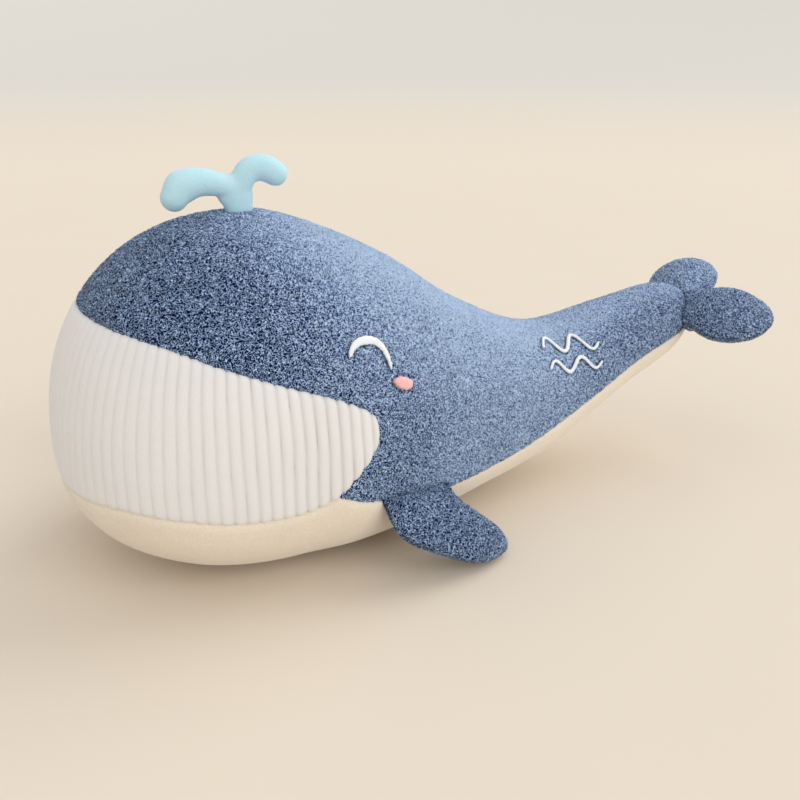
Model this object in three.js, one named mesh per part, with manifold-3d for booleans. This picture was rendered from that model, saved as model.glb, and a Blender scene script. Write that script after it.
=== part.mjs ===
// Plush whale lying on its belly: stuffed body with sewn fins, tail flukes and a spout.
// Millimetres, +Z up, +X toward the tail, the whale's left side toward -Y.
// The origin is the middle of the flat patch under the belly.
import * as THREE from 'three';
import { mergeVertices } from 'three/addons/utils/BufferGeometryUtils.js';
import Module from 'manifold-3d';

const wasm = await Module();
wasm.setup();

// Body sizes
const bodyLength = 786;
const headHeight = 344;
const headWidth = 342;
const crownReach = 204;
const cheekHeight = 122;
const tailCapLength = 60;
const restPatchX = 269.5;
const restCut = 0.5;

// Body roundness, where 2 is a plain ellipse
const noseFullness = 2.26;
const chinFullness = 2.17;
const backFullness = 2.1;
const bellyFullness = 2.6;
const tailCapFullness = 2.4;

// Cloth, seams and stuffing
const coverThickness = 4;
const seamGap = 0.3;
const fitClearance = 0.3;
const cutOverrun = 60;
const stuffingSplitX = 440;

// Root seams that work as hinges
const rootBeadRadius = 3.2;
const rootLift = 2.4;

// Side fins
const finRootX = 321;
const finRootZ = 75;
const finRootLength = 92;
const finLength = 138;
const finReach = 84;
const finThickness = 36;
const finDroopDeg = 46;
const finRootSlopeDeg = 10;

// Tail flukes
const flukeRootLength = 48;
const flukeInset = 48;
const flukeCentreX = bodyLength - flukeInset;
const flukeCentreRise = 11;
const flukeLength = 99;
const flukeWidth = 92;
const flukeThickness = 52;
const flukeSweepDeg = 36;
const flukeLiftDeg = 8;
const flukeRollDeg = 18;
const flukeTwistDeg = 10;
const flukeTurnDeg = -10;

// Spout
const spoutX = 201;
const spoutHeight = 50;
const spoutSpan = 127;
const spoutStemWidth = 25;
const spoutStemThickness = 18;
const spoutLobeThickness = 25;

// Eye, cheek and side embroidery
const eyeX = 271;
const eyeZ = 229;
const eyeWidth = 42;
const eyeHeight = 31;
const eyeStitchWidth = 7;
const eyeStitchHeight = 3;
const cheekX = 304;
const cheekZ = 199;
const cheekPatchWidth = 24;
const cheekPatchHeight = 14;
const cheekPatchThickness = 3;
const cheekTiltDeg = -17;
const waveInset = 216;
const waveX = bodyLength - waveInset;
const waveZ = 159;
const waveLength = 82;
const waveAmplitude = 6.5;
const waveSpacing = 20;
const waveSlopeDeg = -4;
const waveStitchWidth = 4.5;
const waveStitchHeight = 2.4;

// Mesh fineness
const sectionPoints = 26;
const noseRings = 9;
const trunkRings = 12;
const capRings = 5;
const pillowRings = 3;
const outlineSteps = 18;
const rootSteps = 5;
const beadSides = 10;
const strandSides = 6;
const eyeSteps = 14;
const waveSteps = 24;
const waveCount = 2;
const seamSteps = 36;
const searchSteps = 24;
const tubeSides = 8;
const tubeEndRings = 2;
const tubeSteps = 6;

// Body stations behind the crown: place along it, then shares of the head's height and half width,
// and the height of the widest line as a share of the section's own height
const stationShares = [
  { along: 0.0, top: 1.0, bottom: 0.0, side: 1.0, widest: 0.355 },
  { along: 0.1, top: 0.962, bottom: 0.0, side: 1.018, widest: 0.375 },
  { along: 0.25, top: 0.838, bottom: 0.001, side: 0.883, widest: 0.454 },
  { along: 0.4, top: 0.672, bottom: 0.028, side: 0.688, widest: 0.498 },
  { along: 0.6, top: 0.537, bottom: 0.103, side: 0.473, widest: 0.5 },
  { along: 0.8, top: 0.578, bottom: 0.262, side: 0.335, widest: 0.5 },
  { along: 0.9, top: 0.608, bottom: 0.334, side: 0.282, widest: 0.5 },
  { along: 1.0, top: 0.618, bottom: 0.402, side: 0.222, widest: 0.5 },
];

// Seams in side view, as shares of the body's length and the head's height
const mouthSeamShares = [
  [-0.04, 0.768], [0.044, 0.757], [0.115, 0.731], [0.169, 0.688], [0.232, 0.633], [0.307, 0.566],
  [0.339, 0.525], [0.348, 0.48], [0.346, 0.435], [0.334, 0.389], [0.313, 0.34], [0.293, 0.298],
];
const chinSeamShares = [
  [-0.04, 0.302], [0.018, 0.302], [0.058, 0.304], [0.12, 0.282], [0.166, 0.265], [0.218, 0.261],
  [0.263, 0.27], [0.293, 0.298],
];
const sideSeamShares = [
  [0.293, 0.298], [0.32, 0.272], [0.349, 0.25], [0.407, 0.215], [0.471, 0.192], [0.56, 0.189],
  [0.664, 0.229], [0.763, 0.302], [0.878, 0.405], [1.03, 0.5],
];

// Fin outline from the front of the root round the tip to its rear, as shares of length and reach;
// the root is centred on zero
const finOutlineShares = [
  [-0.36, 0.0], [-0.36, 0.15], [-0.33, 0.34], [-0.245, 0.5], [-0.06, 0.69], [0.16, 0.88], [0.36, 0.975],
  [0.543, 0.955], [0.64, 0.88], [0.655, 0.74], [0.594, 0.57], [0.475, 0.36], [0.36, 0.16], [0.3, 0.0],
];
// Fluke outline from the outer end of the root round the tip to its inner end
const flukeOutlineShares = [
  [-0.29, 0.0], [-0.42, 0.12], [-0.49, 0.28], [-0.505, 0.46], [-0.47, 0.66], [-0.37, 0.85], [-0.19, 0.98],
  [0.0, 1.0], [0.19, 0.93], [0.35, 0.78], [0.46, 0.6], [0.495, 0.42], [0.46, 0.26], [0.38, 0.12],
  [0.29, 0.0],
];
// Spout arms: place along the span from the stem, height, and half width as shares of the stem width
const spoutFrontArmShares = [
  { along: -0.01, up: 0.28, half: 0.5 }, { along: -0.14, up: 0.48, half: 0.48 },
  { along: -0.3, up: 0.53, half: 0.56 }, { along: -0.43, up: 0.45, half: 0.66 },
  { along: -0.49, up: 0.27, half: 0.52 },
];
const spoutRearArmShares = [
  { along: 0.0, up: 0.38, half: 0.46 }, { along: 0.095, up: 0.69, half: 0.5 },
  { along: 0.2, up: 0.735, half: 0.54 }, { along: 0.3, up: 0.61, half: 0.5 },
];
const spoutStemShares = [
  { along: 0.0, up: 0.0, half: 0.56 }, { along: -0.005, up: 0.2, half: 0.6 },
  { along: -0.01, up: 0.38, half: 0.62 }, { along: 0.0, up: 0.5, half: 0.5 },
];
// Closed eye: an arch in shares of its width and height
const eyeArchShares = [
  [-0.48, 0.1], [-0.38, 0.36], [-0.2, 0.5], [0.02, 0.48], [0.22, 0.38], [0.38, 0.14], [0.48, -0.2],
  [0.5, -0.5],
];

// Pillow section: how round its rim is, and how far an inset draws the rim in against the height
const rimRoundnessShare = 0.62;
const rimInsetShare = 1.6;
// Stitches thin out toward their ends, and patches round off toward their rims
const stitchEndShare = 0.6;
const patchRimShares = [{ across: 0.6, height: 1 }, { across: 0.92, height: 0.7 }];
// Where along a spout tube its full thickness is reached
const stemSwellShare = 0.5;
const armSwellShare = 0.66;

const unit = (v) => v.clone().normalize();
const radians = THREE.MathUtils.degToRad;

// Smooth value of one column of the station table at a place behind the crown
function stationValue(along, key) {
  const rows = stationShares;
  const last = rows.length - 1;
  const place = Math.min(Math.max(along, rows[0].along), rows[last].along);
  let i = 0;
  while (i < last - 1 && place > rows[i + 1].along) i += 1;
  const slopeAt = (k) => {
    if (k === 0) return 0;
    const next = rows[Math.min(k + 1, last)];
    const before = rows[k - 1];
    return (next[key] - before[key]) / (next.along - before.along);
  };
  const span = rows[i + 1].along - rows[i].along;
  const t = (place - rows[i].along) / span;
  const rise = rows[i + 1][key] - rows[i][key];
  const a = slopeAt(i) * span - rise;
  const b = rise - slopeAt(i + 1) * span;
  return rows[i][key] + rise * t + t * (1 - t) * (a * (1 - t) + b * t);
}

// Half sizes of the body's section at x, drawn in by an inset
function section(x, inset = 0) {
  const along = Math.max(x - crownReach, 0) / (bodyLength - crownReach);
  const top = headHeight * stationValue(along, 'top') - inset;
  const bottom = headHeight * stationValue(along, 'bottom') - restCut + inset;
  const side = (headWidth / 2) * stationValue(along, 'side') - inset;
  const crownWidest = cheekHeight / headHeight;
  const widestShare = stationValue(along, 'widest') * (crownWidest / stationShares[0].widest);
  const widest = bottom + Math.min(widestShare, 0.5) * (top - bottom);
  const noseWay = Math.max(crownReach - x, 0) / (crownReach - inset);
  const tailWay = Math.max(x - (bodyLength - tailCapLength), 0) / (tailCapLength - inset);
  const nose = (1 - Math.min(noseWay, 1) ** noseFullness) ** (1 / noseFullness);
  const chin = (1 - Math.min(noseWay, 1) ** chinFullness) ** (1 / chinFullness);
  const tail = (1 - Math.min(tailWay, 1) ** tailCapFullness) ** (1 / tailCapFullness);
  const draw = nose * tail;
  return { side: side * draw, up: (top - widest) * draw, down: (widest - bottom) * chin * tail, widest };
}

// Point of the body's skin at x and an angle round the section
function skinPoint(x, angle, inset = 0) {
  const s = section(x, inset);
  const c = Math.cos(angle);
  const v = Math.sin(angle);
  const power = v > 0 ? backFullness : bellyFullness;
  const r = (Math.abs(c) ** power + Math.abs(v) ** power) ** (-1 / power);
  return new THREE.Vector3(x, s.side * c * r, s.widest + (v > 0 ? s.up : s.down) * v * r);
}

// How far out of the body a point is: below 1 inside, 1 on the skin
function outness(p) {
  const s = section(p.x);
  const power = p.z > s.widest ? backFullness : bellyFullness;
  const height = p.z > s.widest ? s.up : s.down;
  return (Math.abs(p.y / s.side) ** power + Math.abs((p.z - s.widest) / height) ** power) ** (1 / power);
}

// Skin point seen from one side at x and z, with its outward normal
function sidePoint(x, z, side) {
  const s = section(x);
  const power = z > s.widest ? backFullness : bellyFullness;
  const height = z > s.widest ? s.up : s.down;
  const left = Math.max(1 - Math.abs((z - s.widest) / height) ** power, 0);
  return new THREE.Vector3(x, side * s.side * left ** (1 / power), z);
}

function skinNormal(p) {
  const probe = coverThickness / 2;
  const slope = (axis) => {
    const ahead = p.clone();
    const behind = p.clone();
    ahead[axis] += probe;
    behind[axis] -= probe;
    return outness(ahead) - outness(behind);
  };
  return new THREE.Vector3(slope('x'), slope('y'), slope('z')).normalize();
}

// Closed geometry from rings of equal point counts with a point at each end
function closedLoft(rings, firstTip, lastTip) {
  const count = rings[0].length;
  const points = [firstTip, ...rings.flat(), lastTip];
  const index = [];
  const corner = (ring, k) => 1 + ring * count + (k % count);
  const lastRing = rings.length - 1;
  for (let k = 0; k < count; k += 1) {
    index.push(0, corner(0, k + 1), corner(0, k));
    index.push(points.length - 1, corner(lastRing, k), corner(lastRing, k + 1));
    for (let r = 0; r < lastRing; r += 1) {
      index.push(corner(r, k), corner(r, k + 1), corner(r + 1, k + 1));
      index.push(corner(r, k), corner(r + 1, k + 1), corner(r + 1, k));
    }
  }
  const geometry = new THREE.BufferGeometry();
  geometry.setAttribute('position', new THREE.Float32BufferAttribute(points.flatMap((p) => p.toArray()), 3));
  geometry.setIndex(index);
  return geometry;
}

function volumeSign(geometry) {
  const p = geometry.attributes.position;
  const i = geometry.index.array;
  const corner = (k) => new THREE.Vector3().fromBufferAttribute(p, i[k]);
  let sum = 0;
  for (let k = 0; k < i.length; k += 3) sum += corner(k).dot(corner(k + 1).cross(corner(k + 2)));
  return Math.sign(sum);
}

// Turn every triangle round when the faces point inward
function facingOut(geometry) {
  if (volumeSign(geometry) > 0) return geometry;
  const i = geometry.index.array;
  for (let k = 0; k < i.length; k += 3) [i[k + 1], i[k + 2]] = [i[k + 2], i[k + 1]];
  return geometry;
}

function solid(source) {
  const bare = source.clone();
  bare.deleteAttribute('normal');
  bare.deleteAttribute('uv');
  const merged = facingOut(mergeVertices(bare));
  const vertProperties = new Float32Array(merged.attributes.position.array);
  const triVerts = new Uint32Array(merged.index.array);
  return new wasm.Manifold(new wasm.Mesh({ numProp: 3, vertProperties, triVerts }));
}

function geometryOf(manifold) {
  const mesh = manifold.getMesh();
  const geometry = new THREE.BufferGeometry();
  const places = new Float32Array(mesh.numVert * 3);
  for (let v = 0; v < mesh.numVert; v += 1) {
    for (let a = 0; a < 3; a += 1) places[v * 3 + a] = mesh.vertProperties[v * mesh.numProp + a];
  }
  geometry.setAttribute('position', new THREE.BufferAttribute(places, 3));
  geometry.setIndex(new THREE.BufferAttribute(new Uint32Array(mesh.triVerts), 1));
  return geometry;
}

// Body swell, drawn in by an inset
function bodySwell(inset, place = new THREE.Matrix4()) {
  const stations = [];
  for (let k = 1; k <= noseRings; k += 1) {
    const turn = (k / noseRings) * (Math.PI / 2);
    stations.push(crownReach - (crownReach - inset) * Math.cos(turn));
  }
  const capStart = bodyLength - tailCapLength;
  for (let k = 1; k <= trunkRings; k += 1) {
    stations.push(crownReach + ((capStart - crownReach) * k) / trunkRings);
  }
  for (let k = 1; k < capRings; k += 1) {
    const turn = (k / capRings) * (Math.PI / 2);
    stations.push(capStart + (tailCapLength - inset) * Math.sin(turn));
  }
  const rings = stations.map((x) =>
    Array.from({ length: sectionPoints }, (_, k) => skinPoint(x, (k / sectionPoints) * 2 * Math.PI, inset)));
  const nose = new THREE.Vector3(inset, 0, section(inset, inset).widest);
  const tail = new THREE.Vector3(bodyLength - inset, 0, section(bodyLength - inset, inset).widest);
  return solid(closedLoft(rings, nose, tail).applyMatrix4(place));
}

// Points of a seam in side view
function seamPoints(shares) {
  const places = shares.map(([x, z]) => new THREE.Vector2(x * bodyLength, z * headHeight));
  return new THREE.SplineCurve(places).getPoints(seamSteps);
}

// Move an open run of side view points sideways, to its right when positive
function shifted(points, distance) {
  return points.map((p, k) => {
    const before = points[Math.max(k - 1, 0)];
    const after = points[Math.min(k + 1, points.length - 1)];
    const run = after.clone().sub(before).normalize();
    return new THREE.Vector2(p.x + run.y * distance, p.y - run.x * distance);
  });
}

// Prism through the whole width from a closed side view outline
function sidePrism(outline) {
  const depth = headWidth + 2 * cutOverrun;
  const prism = new THREE.ExtrudeGeometry(new THREE.Shape(outline), { depth, bevelEnabled: false });
  prism.rotateX(Math.PI / 2);
  prism.translate(0, depth / 2, 0);
  return solid(prism);
}

const at = (x, y, z) => new THREE.Vector3(x, y, z);

function box(low, high) {
  const size = high.clone().sub(low);
  const block = new THREE.BoxGeometry(size.x, size.y, size.z);
  block.translate(low.x + size.x / 2, low.y + size.y / 2, low.z + size.z / 2);
  return solid(block);
}

const before = -cutOverrun;
const behind = bodyLength + cutOverrun;
const above = headHeight + spoutHeight + cutOverrun;
const beyond = headWidth / 2 + cutOverrun;

// Region under the chin and side seams, moved down by a gap
function bellyRegion(gap) {
  const chin = seamPoints(chinSeamShares);
  const side = seamPoints(sideSeamShares);
  const run = shifted([...chin, ...side.slice(1)], gap);
  const below = -cutOverrun;
  return sidePrism([new THREE.Vector2(before, below), ...run, new THREE.Vector2(behind, run.at(-1).y),
    new THREE.Vector2(behind, below)]);
}

// Region in front of the mouth seam, drawn in by a gap
function mouthRegion(gap) {
  const run = shifted(seamPoints(mouthSeamShares), gap);
  const floor = -cutOverrun;
  return sidePrism([...run, new THREE.Vector2(run.at(-1).x, floor), new THREE.Vector2(before, floor),
    new THREE.Vector2(before, run[0].y)]);
}

// Frame of a limb: x along its root seam, y outward, z through its thickness
function limbFrame(root, along, outward) {
  const through = unit(along.clone().cross(outward));
  const matrix = new THREE.Matrix4().makeBasis(unit(along), unit(outward), through);
  return matrix.setPosition(root);
}

function rodAlong(matrix, radius, length) {
  const rod = new THREE.CylinderGeometry(radius, radius, length, beadSides);
  rod.rotateZ(Math.PI / 2);
  rod.applyMatrix4(matrix);
  return solid(rod);
}

function finFrame(side) {
  const slope = radians(finRootSlopeDeg);
  const run = finRootLength / 2;
  const front = sidePoint(finRootX - run, finRootZ + run * Math.sin(slope), side);
  const rear = sidePoint(finRootX + run, finRootZ - run * Math.sin(slope), side);
  const along = unit(rear.sub(front));
  const middle = sidePoint(finRootX, finRootZ, side);
  const root = middle.clone().addScaledVector(skinNormal(middle), rootLift);
  const level = unit(new THREE.Vector3(along.y, -along.x, 0)).multiplyScalar(-side);
  const down = unit(along.clone().multiplyScalar(along.z).sub(new THREE.Vector3(0, 0, 1)));
  const droop = radians(finDroopDeg);
  const outward = level.multiplyScalar(Math.cos(droop)).addScaledVector(down, Math.sin(droop));
  return limbFrame(root, along, outward);
}

function flukeFrame(side) {
  const sweep = radians(flukeSweepDeg);
  const lift = radians(flukeLiftDeg);
  const reach = Math.cos(lift);
  const outward = at(Math.cos(sweep) * reach, side * Math.sin(sweep) * reach, Math.sin(lift));
  const across = at(Math.sin(sweep), -side * Math.cos(sweep), 0);
  across.applyAxisAngle(outward, -side * radians(flukeRollDeg));
  const posture = new THREE.Quaternion().setFromEuler(
    new THREE.Euler(radians(flukeTwistDeg), 0, radians(flukeTurnDeg), 'ZYX'));
  outward.applyQuaternion(posture);
  across.applyQuaternion(posture);
  const start = new THREE.Vector3(flukeCentreX, 0, section(flukeCentreX).widest + flukeCentreRise);
  let near = 0;
  let far = headWidth / 2;
  for (let k = 0; k < searchSteps; k += 1) {
    const middle = (near + far) / 2;
    if (outness(start.clone().addScaledVector(outward, middle)) < 1) near = middle;
    else far = middle;
  }
  const root = start.addScaledVector(outward, near + rootLift);
  return limbFrame(root, across, outward);
}

function spoutFrame() {
  const root = new THREE.Vector3(spoutX, 0, section(spoutX).widest + section(spoutX).up + rootLift);
  return limbFrame(root, new THREE.Vector3(1, 0, 0), new THREE.Vector3(0, 0, 1));
}

// Pillow over an outline in the limb's own plane, drawn in by an inset
function pillow(outline, thickness, inset) {
  const curve = new THREE.CatmullRomCurve3(outline.map(([u, v]) => new THREE.Vector3(u, v, 0)));
  const root = new THREE.LineCurve3(curve.getPoint(1), curve.getPoint(0));
  const edge = [...curve.getSpacedPoints(outlineSteps), ...root.getSpacedPoints(rootSteps).slice(1, -1)];
  const middle = edge.reduce((sum, p) => sum.add(p), new THREE.Vector3()).divideScalar(edge.length);
  const half = thickness / 2 - inset;
  const drawn = edge.map((p) => {
    const out = p.clone().sub(middle);
    return out.multiplyScalar(1 - (inset * rimInsetShare) / out.length());
  });
  const ringAt = (share, face) => drawn.map((out) => {
    const height = half * (1 - share * share) ** rimRoundnessShare;
    return middle.clone().addScaledVector(out, share).setZ(face * height);
  });
  const rings = [];
  for (let k = 1; k < 2 * pillowRings; k += 1) {
    const turn = (k / pillowRings) * (Math.PI / 2);
    rings.push(ringAt(Math.sin(turn), Math.sign(Math.cos(turn))));
  }
  return closedLoft(rings, middle.clone().setZ(half), middle.clone().setZ(-half));
}

// Swelling tube along shares of the spout, flattened sideways, with round ends
function spoutTube(shares, thicknessAt, inset) {
  const nodes = shares.map((s) => new THREE.Vector3(s.along * spoutSpan, s.up * spoutHeight, 0));
  const path = new THREE.CatmullRomCurve3(nodes);
  const halfAt = (t) => {
    const place = t * (shares.length - 1);
    const k = Math.min(Math.floor(place), shares.length - 2);
    const blend = place - k;
    return spoutStemWidth * (shares[k].half * (1 - blend) + shares[k + 1].half * blend) - inset;
  };
  const ring = (centre, run, half, depth) => Array.from({ length: tubeSides }, (_, k) => {
    const turn = (k / tubeSides) * 2 * Math.PI;
    const out = new THREE.Vector3(-run.y, run.x, 0).multiplyScalar(half * Math.cos(turn));
    return centre.clone().add(out).setZ(depth * Math.sin(turn));
  });
  const rings = [];
  const endRings = (t, way) => {
    const centre = path.getPoint(t);
    const run = path.getTangent(t);
    const list = [];
    for (let k = tubeEndRings; k > 0; k -= 1) {
      const turn = (k / (tubeEndRings + 1)) * (Math.PI / 2);
      const moved = centre.clone().addScaledVector(run, way * halfAt(t) * Math.sin(turn));
      list.push(ring(moved, run, halfAt(t) * Math.cos(turn), thicknessAt(t, inset) * Math.cos(turn)));
    }
    return { list, tip: centre.clone().addScaledVector(run, way * halfAt(t)) };
  };
  const start = endRings(0, -1);
  const finish = endRings(1, 1);
  rings.push(...start.list);
  for (let k = 0; k <= tubeSteps; k += 1) {
    const t = k / tubeSteps;
    rings.push(ring(path.getPoint(t), path.getTangent(t), halfAt(t), thicknessAt(t, inset)));
  }
  rings.push(...finish.list.reverse());
  return solid(closedLoft(rings, start.tip, finish.tip));
}

const blended = (from, to, t) => from + (to - from) * Math.min(Math.max(t, 0), 1);

// Half thickness of the stem, pinched to the bead at its root, and of the arms
function spoutStemDepth(t, inset) {
  const way = t / stemSwellShare;
  return blended(rootBeadRadius, spoutStemThickness / 2, way) - inset * blended(0, 1, way);
}

function spoutArmDepth(t, inset) {
  return blended(spoutStemThickness, spoutLobeThickness, t / armSwellShare) / 2 - inset;
}

function spoutSwell(inset) {
  const front = spoutTube(spoutFrontArmShares, spoutArmDepth, inset);
  const rear = spoutTube(spoutRearArmShares, spoutArmDepth, inset);
  const stem = spoutTube(spoutStemShares, spoutStemDepth, inset);
  return front.add(rear).add(stem);
}

// Two cloth panels and the stuffing of a limb, in the limb's own frame
function limbPieces(frame, swellAt, rootLength) {
  const own = new THREE.Matrix4();
  const bead = rodAlong(own, rootBeadRadius, rootLength);
  const beadRoom = rodAlong(own, rootBeadRadius + fitClearance, rootLength + 2 * fitClearance);
  const bodyRoom = bodySwell(-fitClearance, frame.clone().invert());
  const reach = bodyLength;
  const pastRoot = box(at(-reach, 0, -reach), at(reach, reach, reach));
  const upperHalf = box(at(-reach, -reach, seamGap / 2), at(reach, reach, reach));
  const lowerHalf = box(at(-reach, -reach, -reach), at(reach, reach, -seamGap / 2));
  const shell = swellAt(0).subtract(swellAt(coverThickness)).intersect(pastRoot).subtract(bodyRoom);
  const stuffing = swellAt(coverThickness + fitClearance).intersect(pastRoot);
  return {
    front: shell.intersect(upperHalf).add(bead),
    back: shell.intersect(lowerHalf).subtract(beadRoom),
    stuffing: stuffing.subtract(beadRoom).subtract(bodyRoom),
  };
}

function outlineOf(shares, length, reach) {
  return shares.map(([u, v]) => [u * length, v * reach]);
}

// Strand of satin stitch laid on the skin along side view places
function stitchStrand(places, side, width, height, steps, room) {
  const spots = places.map(([x, z]) => sidePoint(x, z, side));
  const path = new THREE.CatmullRomCurve3(spots);
  const rings = [];
  const grow = (t) => blended(stitchEndShare, 1, Math.sin(Math.PI * t));
  for (let k = 0; k <= steps; k += 1) {
    const t = k / steps;
    const centre = path.getPointAt(t);
    const normal = skinNormal(centre);
    const across = unit(path.getTangentAt(t).cross(normal));
    rings.push(Array.from({ length: strandSides }, (_, n) => {
      const turn = (n / strandSides) * 2 * Math.PI;
      const out = (width / 2) * grow(t) * Math.cos(turn) + room * Math.sign(Math.cos(turn));
      const lift = (height / 2) * Math.sin(turn) + room * Math.sign(Math.sin(turn));
      return centre.clone().addScaledVector(across, out).addScaledVector(normal, lift);
    }));
  }
  const past = width / 4 + room;
  const tipAt = (t, way) => path.getPointAt(t).addScaledVector(path.getTangentAt(t), way * past);
  return solid(closedLoft(rings, tipAt(0, -1), tipAt(1, 1)));
}

function eyePlaces() {
  return eyeArchShares.map(([u, v]) => [eyeX + u * eyeWidth, eyeZ + v * eyeHeight]);
}

function wavePlaces(row) {
  const slope = radians(waveSlopeDeg);
  const turns = waveCount * 2;
  return Array.from({ length: turns * 4 + 1 }, (_, k) => {
    const way = k / (turns * 4) - 1 / 2;
    const run = way * waveLength;
    const swing = waveAmplitude * Math.sin(way * turns * Math.PI) + row * waveSpacing;
    return [waveX + run * Math.cos(slope) - swing * Math.sin(slope),
      waveZ + run * Math.sin(slope) + swing * Math.cos(slope)];
  });
}

// Oval patch domed on the skin
function cheekPatch(side, room) {
  const centre = sidePoint(cheekX, cheekZ, side);
  const normal = skinNormal(centre);
  const along = unit(new THREE.Vector3(1, 0, 0).addScaledVector(normal, -normal.x));
  along.applyAxisAngle(normal, -side * radians(cheekTiltDeg));
  const up = unit(normal.clone().cross(along)).multiplyScalar(-side);
  const ringAt = (share, height) => Array.from({ length: outlineSteps }, (_, k) => {
    const turn = (k / outlineSteps) * 2 * Math.PI;
    const u = (cheekPatchWidth / 2 + room) * share * Math.cos(turn);
    const v = (cheekPatchHeight / 2 + room) * share * Math.sin(turn);
    const flat = centre.clone().addScaledVector(along, u).addScaledVector(up, v);
    const onSkin = sidePoint(flat.x, flat.z, side);
    return onSkin.addScaledVector(normal, height);
  });
  const half = cheekPatchThickness / 2;
  const outerRings = patchRimShares.map((s) => ringAt(s.across, half * s.height + room));
  const innerRings = patchRimShares.map((s) => ringAt(s.across, -half * s.height - room)).reverse();
  const rings = [...outerRings, ringAt(1, 0), ...innerRings];
  const outer = centre.clone().addScaledVector(normal, half + room);
  const inner = centre.clone().addScaledVector(normal, -half - room);
  return solid(closedLoft(rings, outer, inner));
}

// Colours of the cloths and threads
const clothColours = {
  blue: 0x6f89b0,
  ribbed: 0xe9e4dc,
  cream: 0xeee2cb,
  spout: 0xb2dae0,
  thread: 0xf6f5f2,
  cheek: 0xf0a9a3,
  fibre: 0xf4f3ee,
};

const whale = new THREE.Group();

function addPiece(parent, name, manifold, colour, roughness) {
  const material = new THREE.MeshStandardMaterial({ color: clothColours[colour], roughness, metalness: 0 });
  const mesh = new THREE.Mesh(geometryOf(manifold), material);
  mesh.name = name;
  parent.add(mesh);
}

// Limbs first, because the body is cut by their root seams
const rootRooms = [];

function addLimb(name, panelNames, frame, swellAt, rootLength, colour) {
  const group = new THREE.Group();
  group.applyMatrix4(frame);
  const pieces = limbPieces(frame, swellAt, rootLength);
  addPiece(group, `${name}_${panelNames[0]}`, pieces.front, colour, 0.9);
  addPiece(group, `${name}_${panelNames[1]}`, pieces.back, colour, 0.9);
  addPiece(group, `${name}_stuffing`, pieces.stuffing, 'fibre', 1);
  rootRooms.push(rodAlong(frame, rootBeadRadius + fitClearance, rootLength + 2 * fitClearance));
  return group;
}

const trunk = new THREE.Group();
for (const [word, side] of [['left', -1], ['right', 1]]) {
  const finOutline = outlineOf(finOutlineShares, finLength, finReach);
  const finSwell = (inset) => solid(pillow(finOutline, finThickness, inset));
  const flukeOutline = outlineOf(flukeOutlineShares, flukeWidth, flukeLength);
  const flukeSwell = (inset) => solid(pillow(flukeOutline, flukeThickness, inset));
  const finPanels = side < 0 ? ['bottom_panel', 'top_panel'] : ['top_panel', 'bottom_panel'];
  const flukePanels = side < 0 ? ['bottom_panel', 'top_panel'] : ['top_panel', 'bottom_panel'];
  trunk.add(addLimb(`fin_${word}`, finPanels, finFrame(side), finSwell, finRootLength, 'blue'));
  trunk.add(addLimb(`fluke_${word}`, flukePanels, flukeFrame(side), flukeSwell, flukeRootLength, 'blue'));
}
trunk.add(addLimb('spout', ['left_panel', 'right_panel'], spoutFrame(), spoutSwell,
  spoutStemWidth, 'spout'));

// Body cover, split at its seams
const bodyShell = bodySwell(0).subtract(bodySwell(coverThickness));
const aboveFloor = box(at(before, -beyond, 0), at(behind, beyond, above));
const half = seamGap / 2;
let blue = bodyShell.subtract(bellyRegion(-half)).subtract(mouthRegion(-half));
let mouth = bodyShell.subtract(bellyRegion(-half)).intersect(mouthRegion(half));
let belly = bodyShell.intersect(bellyRegion(half)).intersect(aboveFloor);
const stuffing = bodySwell(coverThickness + fitClearance);
const below = -cutOverrun;
const headPart = box(at(before, -beyond, below), at(stuffingSplitX - half, beyond, above));
const tailPart = box(at(stuffingSplitX + half, -beyond, below), at(behind, beyond, above));
let headStuffing = stuffing.intersect(headPart);
let tailStuffing = stuffing.intersect(tailPart);
for (const room of rootRooms) {
  blue = blue.subtract(room);
  mouth = mouth.subtract(room);
  belly = belly.subtract(room);
  headStuffing = headStuffing.subtract(room);
  tailStuffing = tailStuffing.subtract(room);
}

// Embroidery and cheeks sit in shallow beds in the cloth
for (const [word, side] of [['left', -1], ['right', 1]]) {
  const eye = (room) => stitchStrand(eyePlaces(), side, eyeStitchWidth, eyeStitchHeight, eyeSteps, room);
  blue = blue.subtract(eye(fitClearance)).subtract(cheekPatch(side, fitClearance));
  addPiece(trunk, `eye_stitch_${word}`, eye(0), 'thread', 0.5);
  addPiece(trunk, `cheek_patch_${word}`, cheekPatch(side, 0), 'cheek', 0.6);
}
for (const [word, row] of [['upper', 1 / 2], ['lower', -1 / 2]]) {
  const places = wavePlaces(row);
  const wave = (room) => stitchStrand(places, -1, waveStitchWidth, waveStitchHeight, waveSteps, room);
  blue = blue.subtract(wave(fitClearance));
  addPiece(trunk, `wave_stitch_${word}`, wave(0), 'thread', 0.5);
}

const leftHalf = box(at(before, -beyond, below), at(behind, -half, above));
const rightHalf = box(at(before, half, below), at(behind, beyond, above));
addPiece(trunk, 'back_panel_left', blue.intersect(leftHalf), 'blue', 0.9);
addPiece(trunk, 'back_panel_right', blue.intersect(rightHalf), 'blue', 0.9);
addPiece(trunk, 'mouth_panel', mouth, 'ribbed', 0.9);
addPiece(trunk, 'belly_panel', belly, 'cream', 0.9);
addPiece(trunk, 'head_stuffing', headStuffing, 'fibre', 1);
addPiece(trunk, 'tail_stuffing', tailStuffing, 'fibre', 1);

trunk.position.x = -restPatchX;
whale.add(trunk);

export default whale;
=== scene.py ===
"""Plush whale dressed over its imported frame: cloth covers with pile, ribs, seams and stitches.

Lengths are millimetres from the nose until a mesh is made, and metres in the frame after that.
"""

from itertools import product
from math import cos, pi, radians, sin

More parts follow.
